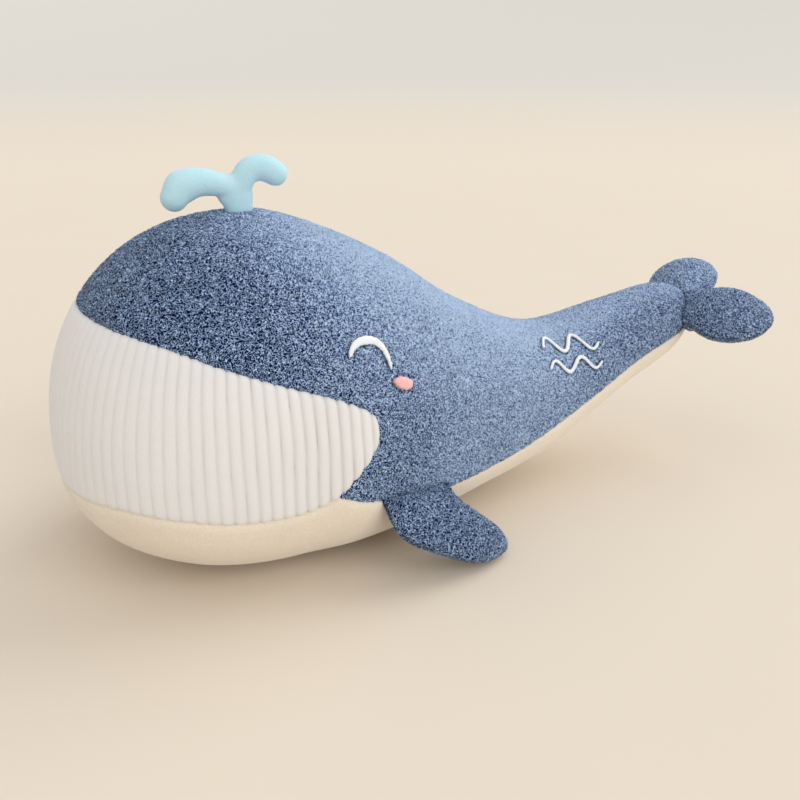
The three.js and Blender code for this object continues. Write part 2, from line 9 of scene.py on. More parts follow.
import bpy
import numpy as np
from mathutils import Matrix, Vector


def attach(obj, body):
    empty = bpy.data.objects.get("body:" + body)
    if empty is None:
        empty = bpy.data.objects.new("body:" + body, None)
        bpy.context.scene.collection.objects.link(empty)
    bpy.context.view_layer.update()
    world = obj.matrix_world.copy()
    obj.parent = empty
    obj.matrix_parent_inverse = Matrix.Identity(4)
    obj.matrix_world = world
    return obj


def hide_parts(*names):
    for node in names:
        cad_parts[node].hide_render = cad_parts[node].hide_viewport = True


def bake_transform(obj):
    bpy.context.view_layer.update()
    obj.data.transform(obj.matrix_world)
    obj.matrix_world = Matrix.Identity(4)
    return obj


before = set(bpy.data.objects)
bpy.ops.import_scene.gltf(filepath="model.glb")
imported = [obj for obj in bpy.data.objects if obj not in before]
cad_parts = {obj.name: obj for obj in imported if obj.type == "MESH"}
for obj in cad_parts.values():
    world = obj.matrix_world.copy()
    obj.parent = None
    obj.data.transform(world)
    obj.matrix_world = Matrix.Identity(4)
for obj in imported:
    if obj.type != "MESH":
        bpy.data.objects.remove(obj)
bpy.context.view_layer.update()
scene = bpy.context.scene
PER_METRE = 1000
SIDES = (("left", -1), ("right", 1))
WAVE_ROWS = (("upper", 0.5), ("lower", -0.5))

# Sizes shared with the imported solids
BODY_LENGTH = 786
HEAD_HEIGHT = 344
HEAD_WIDTH = 342
CROWN_REACH = 204
CHEEK_HEIGHT = 122
TAIL_CAP_LENGTH = 60
TAIL_FULLNESS = 2.4
REST_PATCH_X = 269.5
REST_CUT = 0.5
NOSE_FULLNESS = 2.26
CHIN_FULLNESS = 2.17
BACK_FULLNESS = 2.1
BELLY_FULLNESS = 2.6
ROOT_LIFT = 2.4
ROOT_BEND = 11
RIM_ROUNDNESS = 0.62

# Size of a limb: along its root, out from it, thickness, and depth of the root
FIN_SIZE, FLUKE_SIZE = (138, 84, 36, 9), (92, 99, 52, 16)
FIN_ROOT_X, FIN_ROOT_Z, FIN_ROOT_LENGTH = 321, 75, 92
FIN_DROOP, FIN_ROOT_SLOPE = radians(46), radians(10)
FLUKE_CENTRE_X, FLUKE_CENTRE_RISE = 738, 11
FLUKE_SWEEP, FLUKE_LIFT, FLUKE_ROLL = radians(36), radians(8), radians(18)
FLUKE_TWIST, FLUKE_TURN = radians(10), radians(-10)

SPOUT_X, SPOUT_HEIGHT, SPOUT_SPAN, SPOUT_STEM = 201, 50, 127, 25
SPOUT_STEM_THICKNESS, SPOUT_LOBE_THICKNESS, SPOUT_BEND = 18, 25, 9

EYE_X, EYE_Z, EYE_WIDTH, EYE_HEIGHT = 271, 229, 42, 31
CHEEK_X, CHEEK_Z, CHEEK_WIDTH, CHEEK_TALL, CHEEK_TILT = 304, 199, 24, 12, radians(-17)
WAVE_X, WAVE_Z, WAVE_LENGTH, WAVE_AMPLITUDE, WAVE_SPACING = 570, 159, 82, 6.5, 20
WAVE_SLOPE = radians(-4)

STATION_SHARES = {
    "along": (0, 0.1, 0.25, 0.4, 0.6, 0.8, 0.9, 1),
    "top": (1, 0.962, 0.838, 0.672, 0.537, 0.578, 0.608, 0.618),
    "bottom": (0, 0, 0.001, 0.028, 0.103, 0.262, 0.334, 0.402),
    "side": (1, 1.018, 0.883, 0.688, 0.473, 0.335, 0.282, 0.222),
    "widest": (0.355, 0.375, 0.454, 0.498, 0.5, 0.5, 0.5, 0.5),
}
MOUTH_SEAM_SHARES = (
    (-0.04, 0.79), (0.044, 0.777), (0.115, 0.739), (0.169, 0.69), (0.232, 0.633), (0.307, 0.566),
    (0.339, 0.525), (0.348, 0.48), (0.346, 0.435), (0.334, 0.389), (0.313, 0.34), (0.293, 0.298),
)
CHIN_SEAM_SHARES = (
    (-0.04, 0.302), (0.018, 0.302), (0.058, 0.304), (0.12, 0.282), (0.166, 0.265), (0.218, 0.261),
    (0.263, 0.27), (0.293, 0.298),
)
SIDE_SEAM_SHARES = (
    (0.293, 0.298), (0.32, 0.272), (0.349, 0.25), (0.407, 0.215), (0.471, 0.192), (0.56, 0.189),
    (0.664, 0.229), (0.763, 0.302), (0.878, 0.405), (1.03, 0.5),
)
FIN_OUTLINE_SHARES = (
    (-0.36, 0), (-0.36, 0.15), (-0.33, 0.34), (-0.245, 0.5), (-0.06, 0.69), (0.16, 0.88), (0.36, 0.975),
    (0.543, 0.955), (0.64, 0.88), (0.655, 0.74), (0.594, 0.57), (0.475, 0.36), (0.36, 0.16), (0.3, 0),
)
FLUKE_OUTLINE_SHARES = (
    (-0.24, 0), (-0.365, 0.12), (-0.46, 0.28), (-0.49, 0.46), (-0.45, 0.66), (-0.35, 0.84), (-0.18, 0.965),
    (0, 1), (0.185, 0.925), (0.34, 0.775), (0.45, 0.6), (0.488, 0.42), (0.465, 0.26), (0.42, 0.12),
    (0.37, 0),
)
SPOUT_FRONT_SHARES = (
    (-0.01, 0.32, 0.48), (-0.14, 0.455, 0.46), (-0.3, 0.53, 0.56), (-0.43, 0.45, 0.66), (-0.49, 0.27, 0.52),
)
SPOUT_REAR_SHARES = ((0, 0.38, 0.46), (0.095, 0.69, 0.5), (0.2, 0.735, 0.54), (0.3, 0.61, 0.5))
SPOUT_STEM_SHARES = ((0, 0, 0.56), (-0.012, 0.18, 0.66), (-0.03, 0.34, 0.74), (0, 0.44, 0.5))
EYE_ARCH_SHARES = (
    (-0.485, 0.1), (-0.39, 0.3), (-0.21, 0.43), (0.02, 0.43), (0.22, 0.34), (0.38, 0.12), (0.475, -0.2),
    (0.5, -0.48),
)

# Mesh steps and the cloth that goes on under its neighbour
PILE_STEP, BELLY_STEP = 1.4, 2.6
MOUTH_COLUMN, MOUTH_ROW = 1, 2.4
SPOUT_VOXEL = 1.4
OVERLAP, RIDGE_OVERLAP, SPOUT_OVERLAP = 5, 2.5, 0.9
RIM_FLANGE, RIM_FLANGE_RINGS = 7, 3

# Extent of the rib knit before it is cut at its seams
MOUTH_BACK, MOUTH_LOW, MOUTH_HIGH, MOUTH_PROBE = 300, 78, 274, 260

# Pile, plush and ribs
PILE_SINK, PILE_HEIGHT = 1.2, 2.7
CURL_SIZE, CURL_RADIUS, CURL_WARP, CURL_WARP_SIZE, WORM_SIZE = 2.7, 0.66, 2, 2.6, 2
PLUSH_SIZE, PLUSH_HEIGHT = 4, 0.25
RIB_PITCH, RIB_DEPTH, RIB_CROWDING, RIB_ROUNDNESS = 12.2, 2, 0.047, 0.45
RIB_SWAY, RIB_SWAY_ROUND, RIB_SWAY_UP = 3, 60, 55

# Depth and width of the dip at each seam
BACK_ROLL, RIDGE_ROLL, BELLY_ROLL, MOUTH_ROLL = (2.6, 8), (1, 4), (3, 9), (3.2, 7)
RIM_SEAM, SPOUT_SEAM = (0.7, 2), (0.9, 1.3)
ROLL_SLOPE = 0.8

# Size and height of the swells in the stuffing
BACK_SWELL, BELLY_SWELL, MOUTH_SWELL = (90, 1.2), (60, 0.8), (70, 1)
LIMB_SWELL, SPOUT_SWELL = (45, 1), (14, 0.25)

# Width, depth and shade of the creases round a sewn limb, on body and limb
BODY_CREASE, LIMB_CREASE = (4.5, 1.5, 0.18), (5, 1.2, 0.2)
BODY_RADIUS, LIMB_RADIUS = 60, 40

# Stitches: width and height of each strand, how they press the pile down, and the painted shade round them
EYE_WIDTHS = ((0, 0.56), (0.15, 0.7), (0.4, 1), (0.6, 0.86), (0.8, 0.56), (1, 0.38))
WAVE_WIDTHS = ((0, 0.75), (0.5, 1), (1, 0.75))
EYE_THREAD, WAVE_THREAD = (8.6, 3.8), (4.5, 3)
STRAND_THREAD, PATCH_THREAD = 1.2, 1.4
PATCH_RISE, PATCH_SINK, STRAND_LIFT = 2.4, 2.5, 0.6
EYE_PRESS, CHEEK_PRESS, WAVE_PRESS = 3.5, 7.5, 2.3
CHEEK_PRESS_RUN = (5, 0, -1)
PRESS_DEPTH, PRESS_WIDTH, PRESS_SHADE, PRESS_SHADE_WIDTH, PRESS_REACH = 2.2, 4.5, 0.3, 2.5, 16

# Painted light and shade on the pile: where the back is painted paler or darker, and how light each limb is,
# partly its own colour and partly painted light and shade
PILE_BASE_LEVEL = -0.73
# Painted light rising toward the back's middle, painted shade toward the tail, a painted highlight on the
# ridge, painted light on the top and a painted shadow behind the mouth
PAINTED_LIGHT_RISE, PAINTED_SHADE_FALL, RIDGE_HIGHLIGHT = (90, 420), (540, 700), (90, 250)
TOP_LIGHT, TOP_LIGHT_END = (150, 300), (470, 600)
FOLD_SHADE_X, FOLD_SHADE_WIDTH, FOLD_SHADE_Z = 305, 38, (165, 220)
LIMB_TONE_AND_PAINTED_LIGHT = {"fin_left": -0.68, "fin_right": -0.68, "fluke_left": -0.44, "fluke_right": -0.19}
# Painted highlight on limb rims that face the light, and painted shade right at the rim seam
PAINTED_LIGHT_SIDE = (0.66, 0.22, 0.72)
RIM_HIGHLIGHT_GAIN, RIM_HIGHLIGHT_WIDTH = 0.4, 11
RIM_SHADE, RIM_SHADE_WIDTH = 0.08, 1.8

# Floor in metres, camera in metres and pixels of the photo
FLOOR_RADII = (1, 2, 3, 4, 5, 6.5, 8, 10, 12, 17, 23, 30, 38, 46)
FLOOR_FLAT, FLOOR_CREAM, FLOOR_GREY, FLOOR_DROP = 4, 2.5, 12, 0.0006
FLOOR_SLOPE = radians(28)
CAMERA_PLACE, CAMERA_AIM = (-0.3121, -0.8571, 0.4929), (0.4074, 0.8353, -0.3691)
PHOTO_WIDTH_PIXELS, FOCAL_PIXELS, SENSOR_WIDTH = 800, 892, 36


# Directions and blends

def norms(v):
    return np.linalg.norm(v, axis=-1)


def unit(v):
    return v / np.maximum(norms(v), 1e-9)[..., None]


def running(steps):
    return np.concatenate([[0], np.cumsum(steps)])


def full_turn(count):
    return np.linspace(0, 2 * pi, count, endpoint=False)


def eased(t):
    t = np.clip(t, 0, 1)
    return t * t * (3 - 2 * t)


def between(value, start, end):
    return eased((value - start) / (end - start))


def fading(distance, width):
    return np.exp(-(distance / width) ** 2)


# Body surface

def station_value(along, key):
    """Share on a smooth curve through the stations, which starts level."""
    xs, ys = np.array(STATION_SHARES["along"]), np.array(STATION_SHARES[key])
    slopes = np.zeros(len(xs))
    slopes[1:-1] = (ys[2:] - ys[:-2]) / (xs[2:] - xs[:-2])
    slopes[-1] = (ys[-1] - ys[-2]) / (xs[-1] - xs[-2])
    place = np.clip(along, 0, 1)
    i = np.clip(np.searchsorted(xs, place, side="left") - 1, 0, len(xs) - 2)
    span = xs[i + 1] - xs[i]
    t = (place - xs[i]) / span
    rise = ys[i + 1] - ys[i]
    a = slopes[i] * span - rise
    b = rise - slopes[i + 1] * span
    return ys[i] + rise * t + t * (1 - t) * (a * (1 - t) + b * t)


def section(x):
    """Half width of the body, its heights above and below its widest line, and that line's height."""
    along = np.maximum(x - CROWN_REACH, 0) / (BODY_LENGTH - CROWN_REACH)
    top = HEAD_HEIGHT * station_value(along, "top")
    bottom = HEAD_HEIGHT * station_value(along, "bottom") - REST_CUT
    side = HEAD_WIDTH / 2 * station_value(along, "side")
    share = station_value(along, "widest") * (CHEEK_HEIGHT / HEAD_HEIGHT / STATION_SHARES["widest"][0])
    widest = bottom + np.minimum(share, 0.5) * (top - bottom)
    nose_way = np.clip((CROWN_REACH - x) / CROWN_REACH, 0, 1)
    tail_way = np.clip((x - (BODY_LENGTH - TAIL_CAP_LENGTH)) / TAIL_CAP_LENGTH, 0, 1)
    tail = (1 - tail_way**TAIL_FULLNESS) ** (1 / TAIL_FULLNESS)
    draw, chin = (np.maximum((1 - nose_way**full) ** (1 / full) * tail, 1e-4)
                  for full in (NOSE_FULLNESS, CHIN_FULLNESS))
    return side * draw, (top - widest) * draw, (widest - bottom) * chin, widest


def half_form(above, up, down):
    """Fullness and height of a section's upper or lower half."""
    return np.where(above, BACK_FULLNESS, BELLY_FULLNESS), np.where(above, up, down)


def skin(x, angle):
    """Points of the skin at an angle round the body: 0 on the right, and a quarter turn at the top."""
    x, angle = np.broadcast_arrays(np.asarray(x, float), np.asarray(angle, float))
    side, up, down, widest = section(x)
    c, v = np.cos(angle), np.sin(angle)
    power, height = half_form(v > 0, up, down)
    r = (np.abs(c) ** power + np.abs(v) ** power) ** (-1 / power)
    z = np.maximum(widest + height * v * r, 0)
    return np.stack([x, side * c * r, z], -1)


def outness(p):
    """How far out points are: under 1 inside the skin, and 1 on it."""
    side, up, down, widest = section(p[..., 0])
    power, height = half_form(p[..., 2] > widest, up, down)
    return (np.abs(p[..., 1] / side) ** power + np.abs((p[..., 2] - widest) / height) ** power) ** (1 / power)


def skin_normal(p, probe=1.0):
    slopes = []
    for axis in range(3):
        move = np.zeros(3)
        move[axis] = probe
        slopes.append(outness(p + move) - outness(p - move))
    n = np.stack(slopes, -1)
    n[p[..., 0] < probe * 1.5] = (-1, 0, 0)
    return unit(n)


def side_point(x, z, side):
    """Points of the skin at places of the side view."""
    x, z = np.asarray(x, float), np.asarray(z, float)
    half, up, down, widest = section(x)
    power, height = half_form(z > widest, up, down)
    left = np.maximum(1 - np.abs((z - widest) / height) ** power, 0)
    return np.stack([x, side * half * left ** (1 / power), z], -1)


# Curves

def spline(points, steps, centripetal=True):
    """Points of an open Catmull-Rom curve, evenly in its own parameter."""
    pts = np.asarray(points, float)
    if centripetal:
        before, after = 2 * pts[0] - pts[1], 2 * pts[-1] - pts[-2]
    else:
        before, after = pts[0], pts[-1]
    ext = np.vstack([before, pts, after])
    place = np.linspace(0, len(pts) - 1, steps + 1)
    i = np.minimum(place.astype(int), len(pts) - 2)
    w = (place - i)[:, None]
    p0, p1, p2, p3 = ext[i], ext[i + 1], ext[i + 2], ext[i + 3]
    if centripetal:
        d0, d1, d2 = (np.maximum(norms(b - a) ** 0.5, 1e-4)[:, None]
                      for a, b in ((p0, p1), (p1, p2), (p2, p3)))
        m1 = ((p1 - p0) / d0 - (p2 - p0) / (d0 + d1) + (p2 - p1) / d1) * d1
        m2 = ((p2 - p1) / d1 - (p3 - p1) / (d1 + d2) + (p3 - p2) / d2) * d1
    else:
        m1, m2 = (p2 - p0) / 2, (p3 - p1) / 2
    return p1 + m1 * w + (3 * (p2 - p1) - 2 * m1 - m2) * w**2 + (2 * (p1 - p2) + m1 + m2) * w**3


def lengths_along(points):
    return running(norms(np.diff(points, axis=0)))


def evenly(points, count):
    run = lengths_along(points)
    at = np.linspace(0, run[-1], count)
    return np.stack([np.interp(at, run, points[:, k]) for k in range(points.shape[1])], -1)


SIDE_SCALE = np.array([BODY_LENGTH, HEAD_HEIGHT])
MOUTH_SEAM = spline(np.array(MOUTH_SEAM_SHARES) * SIDE_SCALE, 72, centripetal=False)
CHIN_SEAM = spline(np.array(CHIN_SEAM_SHARES) * SIDE_SCALE, 48, centripetal=False)
SIDE_SEAM = spline(np.array(SIDE_SEAM_SHARES) * SIDE_SCALE, 60, centripetal=False)
BELLY_SEAM = np.vstack([CHIN_SEAM, SIDE_SEAM[1:]])
OUTSIDE = -60.0
MOUTH_OUTLINE = np.vstack([
    MOUTH_SEAM, [MOUTH_SEAM[-1, 0], OUTSIDE], [OUTSIDE, OUTSIDE], [OUTSIDE, MOUTH_SEAM[0, 1]]])
LEAST_LEAN = 0.35


def to_polyline(q, line):
    """Distance and nearest direction from side view points to a polyline."""
    best = np.full(len(q), 1e9)
    way = np.zeros((len(q), 2))
    for a, b in zip(line[:-1], line[1:]):
        run = b - a
        t = np.clip(((q - a) @ run) / (run @ run), 0, 1)
        off = q - (a + t[:, None] * run)
        d = norms(off)
        near = d < best
        best[near] = d[near]
        way[near] = off[near]
    return best, unit(way)


def inside(q, polygon):
    """Crossing test for side view points."""
    x, z = q.T
    result = np.zeros(len(q), bool)
    for (x0, z0), (x1, z1) in zip(polygon, np.roll(polygon, -1, axis=0)):
        if z0 != z1:
            result ^= ((z0 > z) != (z1 > z)) & (x < x0 + (z - z0) * (x1 - x0) / (z1 - z0))
    return result


def seam_distances(p, n):
    """Distances over the cloth to the belly seam, positive above, and mouth seam, positive in front."""
    q = p[:, [0, 2]]
    above = q[:, 1] > np.interp(q[:, 0], BELLY_SEAM[:, 0], BELLY_SEAM[:, 1])
    found = []
    for line, positive in ((BELLY_SEAM, above), (MOUTH_SEAM, inside(q, MOUTH_OUTLINE))):
        d, way = to_polyline(q, line)
        across = np.stack([way[:, 0], np.zeros(len(q)), way[:, 1]], -1)
        flat = across - n * np.sum(across * n, 1)[:, None]
        lean = np.maximum(norms(flat), LEAST_LEAN)
        found.append(np.where(positive, d, -d) / lean)
    return found


# Noise

def hashed(cells, salt):
    """Even random values from 0 to 1 for whole-number cells."""
    c = cells.astype(np.int64)
    h = (c[..., 0] * 73856093) ^ (c[..., 1] * 19349663) ^ (c[..., 2] * 83492791) ^ (salt * 2654435761)
    h = (h ^ (h >> 15)) * 2246822519 & 0xFFFFFFFF
    h = (h ^ (h >> 13)) * 3266489917 & 0xFFFFFFFF
    return ((h ^ (h >> 16)) & 0xFFFFFF) / 0xFFFFFF


def value_noise(p, salt):
    base = np.floor(p)
    f = eased(p - base)
    total = np.zeros(len(p))
    for corner in product((0, 1), repeat=3):
        total += np.prod(np.where(corner, f, 1 - f), 1) * hashed(base + corner, salt)
    return total


def cell_noise(p, salt):
    """Distance to the nearest scattered point, and that point's own random value."""
    base = np.floor(p)
    best = np.full(len(p), 9.0)
    own = np.zeros(len(p))
    for move in product((-1, 0, 1), repeat=3):
        cell = base + move
        spot = cell + np.stack([hashed(cell, salt + k) for k in (1, 2, 3)], -1)
        d = norms(p - spot)
        near = d < best
        best[near] = d[near]
        own[near] = hashed(cell[near], salt + 4)
    return best, own


def pile_lift(p, salt=0):
    """Height in millimetres of curly pile, and its lightness from 0 to 1: random per curl, with painted shade
    in the hollows.
    """
    warp = np.stack([value_noise(p / CURL_WARP_SIZE, salt + k) for k in (11, 12, 13)], -1) - 0.5
    d, own = cell_noise((p + CURL_WARP * warp) / CURL_SIZE, salt + 20)
    bead = np.sqrt(np.clip(1 - (d / CURL_RADIUS) ** 2, 0, 1))
    worm = 1 - np.clip(np.abs(value_noise(p / WORM_SIZE, salt + 31) - 0.5) * 5, 0, 1)
    height = 0.7 * bead + 0.3 * worm
    return PILE_HEIGHT * height - PILE_SINK, 0.5 * height + 0.5 * own


def swells(p, salt, size, height):
    return (value_noise(p / size, salt) - 0.5) * 2 * height


def seam_roll(d, depth, width):
    """How far cloth dips toward a seam at distance d, and goes on under its neighbour past it."""
    t = np.clip(d / width, 0, 1)
    return np.where(d > 0, -depth * (1 - np.sqrt(np.maximum(2 * t - t * t, 0))), d * ROLL_SLOPE - depth)


def painted_back_light(p):
    """Base level of the pile, painted light toward the back's middle and top, painted shade toward the tail,
    a painted highlight on the ridge, a painted shadow behind the mouth, and random blotches.
    """
    x, z = p[:, 0], p[:, 2]
    _, up, _, widest = section(x)
    height = np.clip((z - widest) / up, 0, 1)
    # Painted light and shade along, on top of and round the back; only the blotch is random
    along = 0.6 * between(x, *PAINTED_LIGHT_RISE) - 0.25 * between(x, *PAINTED_SHADE_FALL)
    top = between(height, 0, 0.9) * between(x, *TOP_LIGHT) * (1 - between(x, *TOP_LIGHT_END))
    ridge = between(height, 0.68, 1) * between(x, *RIDGE_HIGHLIGHT)
    corner = fading(x - FOLD_SHADE_X, FOLD_SHADE_WIDTH) * (1 - between(z, *FOLD_SHADE_Z))
    blotch = 0.04 * (value_noise(p / 60, 91) - 0.5)
    return PILE_BASE_LEVEL + along + 0.3 * top + 0.38 * ridge - 0.15 * corner + blotch


# Meshes

def ring_faces(counts):
    """Triangles between closed rings of different counts, with unwrapped places round each ring."""
    starts = running(counts)
    tris, places = [], []
    for k in range(len(counts) - 1):
        n, m = counts[k], counts[k + 1]
        at = np.concatenate([(np.arange(n) + 1) / n, (np.arange(m) + 1) / m + 1e-9])
        first = np.concatenate([np.ones(n, bool), np.zeros(m, bool)])
        first = first[np.argsort(at, kind="stable")]
        i = np.cumsum(first) - first
        j = np.cumsum(~first) - ~first
        a, b = starts[k], starts[k + 1]
        tip = np.where(first, a + (i + 1) % n, b + (j + 1) % m)
        tris.append(np.stack([a + i % n, tip, b + j % m], -1))
        places.append(np.stack([i / n, np.where(first, (i + 1) / n, (j + 1) / m), j / m], -1))
    return np.concatenate(tris), np.concatenate(places)


def grid_faces(rows, columns, closed=True):
    """Two triangles for each cell of a grid, whose rows may close round."""
    k, j = np.meshgrid(np.arange(rows - 1), np.arange(columns if closed else columns - 1), indexing="ij")
    a, b = k * columns + j, k * columns + (j + 1) % columns
    quads = np.stack([a, b, b + columns, a + columns], -1).reshape(-1, 4)
    return np.concatenate([quads[:, [0, 1, 2]], quads[:, [0, 2, 3]]])


def cap_faces(count):
    """Triangles that fill a ring from its first point."""
    later = np.arange(1, count - 1)
    return np.stack([0 * later, later, later + 1], -1)


def fan_faces(hub, ring):
    """Triangles between one point and a closed ring round it."""
    return np.stack([np.full(len(ring), hub), ring, np.roll(ring, -1)], -1)


def body_rings(step):
    """Rings of even spacing over the body: points, triangles, and UV corners in millimetres."""
    turn = np.linspace(0, pi / 2, 400)
    cap = BODY_LENGTH - TAIL_CAP_LENGTH
    xs = np.concatenate([CROWN_REACH * (1 - np.cos(turn)), np.linspace(CROWN_REACH, cap, 500)[1:],
                         cap + TAIL_CAP_LENGTH * np.sin(turn)[1:]])
    tip_gap = 0.02
    xs[0], xs[-1] = tip_gap, BODY_LENGTH - tip_gap
    probe = skin(xs[:, None], full_turn(12))
    run = running(norms(np.diff(probe, axis=0)).max(1))
    stations = np.interp(np.arange(step / 2, run[-1], step), run, xs)
    angles = np.linspace(-pi / 2, 3 * pi / 2, 361)
    points, counts, girths = [], [], []
    for x in stations:
        along = lengths_along(skin(x, angles))
        count = max(int(round(along[-1] / step)), 6)
        turn = np.interp(np.linspace(0, along[-1], count, endpoint=False), along, angles)
        points.append(skin(x, turn))
        counts.append(count)
        girths.append(along[-1])
    tris, places = ring_faces(counts)
    rows = np.repeat(np.arange(len(counts)), counts)[tris]
    length = np.interp(stations, xs, run)[rows]
    uv = np.stack([length, (places - 0.5) * np.array(girths)[rows]], -1)
    return np.concatenate(points), tris, uv


def keep_faces(tris, uv, keep):
    """Points of the triangles whose corners are all kept, and those triangles and UV corners."""
    good = keep[tris].all(1)
    used = np.unique(tris[good])
    index = np.full(len(keep), -1)
    index[used] = np.arange(len(used))
    return used, index[tris[good]], uv[good]


def in_frame(points):
    return (points - (REST_PATCH_X, 0, 0)) / PER_METRE


def from_nose(places):
    return places * PER_METRE + (REST_PATCH_X, 0, 0)


def add_object(name, data):
    item = bpy.data.objects.new(name, data)
    scene.collection.objects.link(item)
    return item


def make_object(name, points, tris, uv=None, fields=None):
    """Mesh object from points in millimetres from the nose and triangles."""
    mesh = bpy.data.meshes.new(name)
    mesh.from_pydata(in_frame(points), [], tris)
    mesh.validate()
    mesh.shade_smooth()
    if uv is not None:
        flat = uv.reshape(-1, 2)
        low = flat.min(0)
        size = np.ptp(flat, 0).max()
        layer = mesh.uv_layers.new(name="OFBake")
        layer.data.foreach_set("uv", ((flat - low) / size * 0.98 + 0.01).astype(np.float32).ravel())
    for key, values in (fields or {}).items():
        attribute = mesh.attributes.new(key, "FLOAT", "POINT")
        attribute.data.foreach_set("value", np.asarray(values, np.float32))
    return add_object(name, mesh)


def point_normals(points, tris):
    """Smooth normals of a triangle mesh."""
    a, b, c = (points[tris[:, k]] for k in range(3))
    cross = np.cross(b - a, c - a)
    n = np.zeros_like(points)
    for k, axis in product(range(3), repeat=2):
        n[:, axis] += np.bincount(tris[:, k], cross[:, axis], len(points))
    return unit(n)


def relaxed(points, tris, rounds, inward=0.6, outward=-0.57):
    """Points moved toward their neighbours and back, which rounds creases and keeps the size."""
    a = tris.ravel()
    b = tris[:, [1, 2, 0]].ravel()
    count = np.maximum(np.bincount(a, minlength=len(points)), 1)[:, None]
    for share in (inward, outward) * rounds:
        total = np.stack([np.bincount(a, points[b, axis], len(points)) for axis in range(3)], -1)
        points = points + share * (total / count - points)
    return points


# Materials

def fill_in(made, values):
    for key, value in values.items():
        made.inputs[key].default_value = value


def node(tree, kind, **values):
    made = tree.nodes.new(kind)
    fill_in(made, values)
    return made


def shader(name, roughness, sheen=0.0, sheen_tint=(1, 1, 1), sheen_roughness=0.5, specular=0.3):
    material = bpy.data.materials.new(name)
    material.use_nodes = True
    tree = material.node_tree
    core = tree.nodes["Principled BSDF"]
    fill_in(core, {"Roughness": roughness, "Sheen Weight": sheen, "Sheen Roughness": sheen_roughness,
                   "Sheen Tint": (*sheen_tint, 1), "Specular IOR Level": specular})
    return material, tree, core


def colour_ramp(tree, core, factor, *stops):
    """Colour of the shader by a factor, from places and colours."""
    made = tree.nodes.new("ShaderNodeValToRGB")
    band = made.color_ramp
    while len(band.elements) < len(stops):
        band.elements.new(0.5)
    for element, (place, colour) in zip(band.elements, stops):
        element.position = place
        element.color = (*colour, 1)
    tree.links.new(factor, made.inputs["Fac"])
    tree.links.new(made.outputs["Color"], core.inputs["Base Color"])


def math_node(tree, operation, a, b=0.0):
    made = tree.nodes.new("ShaderNodeMath")
    made.operation = operation
    for socket, value in zip(made.inputs, (a, b)):
        if isinstance(value, (int, float)):
            socket.default_value = value
        else:
            tree.links.new(value, socket)
    return made.outputs[0]


def plus(tree, a, b):
    return math_node(tree, "ADD", a, b)


def times(tree, a, b):
    return math_node(tree, "MULTIPLY", a, b)


def centred(tree, value, gain):
    """A noise from 0 to 1 made to swing round zero."""
    return times(tree, math_node(tree, "SUBTRACT", value, 0.5), gain)


def object_coordinates(tree):
    return tree.nodes.new("ShaderNodeTexCoord").outputs["Object"]


def noise(tree, scale, detail=2.0, roughness=0.5):
    made = node(tree, "ShaderNodeTexNoise", Scale=scale, Detail=detail, Roughness=roughness)
    tree.links.new(object_coordinates(tree), made.inputs["Vector"])
    return made.outputs[0]


def bump(tree, core, height, distance, strength):
    made = node(tree, "ShaderNodeBump", Strength=strength, Distance=distance)
    tree.links.new(height, made.inputs["Height"])
    tree.links.new(made.outputs["Normal"], core.inputs["Normal"])


def attribute(tree, name):
    made = tree.nodes.new("ShaderNodeAttribute")
    made.attribute_name = name
    return made.outputs["Fac"]


def squiggles(tree, scale, salt):
    """Bright winding ridges from 0 to 1, like curled yarn."""
    shift = node(tree, "ShaderNodeMapping", Location=(salt, -salt, salt))
    tree.links.new(object_coordinates(tree), shift.inputs["Vector"])
    made = node(tree, "ShaderNodeTexNoise", Scale=scale, Detail=1.0, Roughness=0.4, Distortion=0.5)
    tree.links.new(shift.outputs[0], made.inputs["Vector"])
    off = math_node(tree, "ABSOLUTE", math_node(tree, "SUBTRACT", made.outputs[0], 0.5))
    ridge = math_node(tree, "SUBTRACT", 1.0, times(tree, off, 8.0))
    return math_node(tree, "MAXIMUM", ridge, 0.0)


def boucle_material(name):
    """Two sizes of curled yarn, near black between the loops from the yarn's dark colour and painted shade,
    in blues with painted light and shade.
    """
    material, tree, core = shader(
        name, 0.9, sheen=0.8, sheen_tint=(0.6, 0.78, 1.0), sheen_roughness=0.12, specular=0.1)
    loops = squiggles(tree, 460, 0.0)
    strands = squiggles(tree, 670, 3.7)
    yarn = math_node(tree, "MAXIMUM", loops, times(tree, strands, 0.5))
    # Lightness per curl: random, with painted shade in the hollows between curls
    mixed = plus(tree, times(tree, yarn, 2.0), times(tree, attribute(tree, "curl_shade_and_mottle"), 0.12))
    # Base level of the pile with its painted light and shade
    mixed = plus(tree, mixed, attribute(tree, "pile_level_and_painted_light"))
    # Near black between the loops: the yarn's own dark colour and painted shade
    colour_ramp(tree, core, mixed, (0.0, (0.003, 0.009, 0.042)), (0.34, (0.012, 0.036, 0.14)),
                (0.56, (0.055, 0.13, 0.35)), (0.8, (0.23, 0.375, 0.67)), (1.0, (0.55, 0.705, 0.95)))
    bump(tree, core, yarn, 0.0011, 0.8)
    return material


def ribbed_material(name):
    """Off-white knit with painted shade between the ribs, and random darker ribs and blotches."""
    material, tree, core = shader(name, 0.9, sheen=0.25, specular=0.2)
    blotch = noise(tree, 14)
    fine = noise(tree, 900, detail=3)
    mixed = plus(tree, attribute(tree, "rib_shade_and_streaks"), centred(tree, blotch, 0.25))
    mixed = plus(tree, mixed, centred(tree, fine, 0.2))
    colour_ramp(tree, core, mixed, (0.0, (0.785, 0.775, 0.775)), (0.5, (0.68, 0.67, 0.67)),
                (1.0, (0.46, 0.45, 0.45)))
    bump(tree, core, fine, 0.0007, 0.5)
    return material


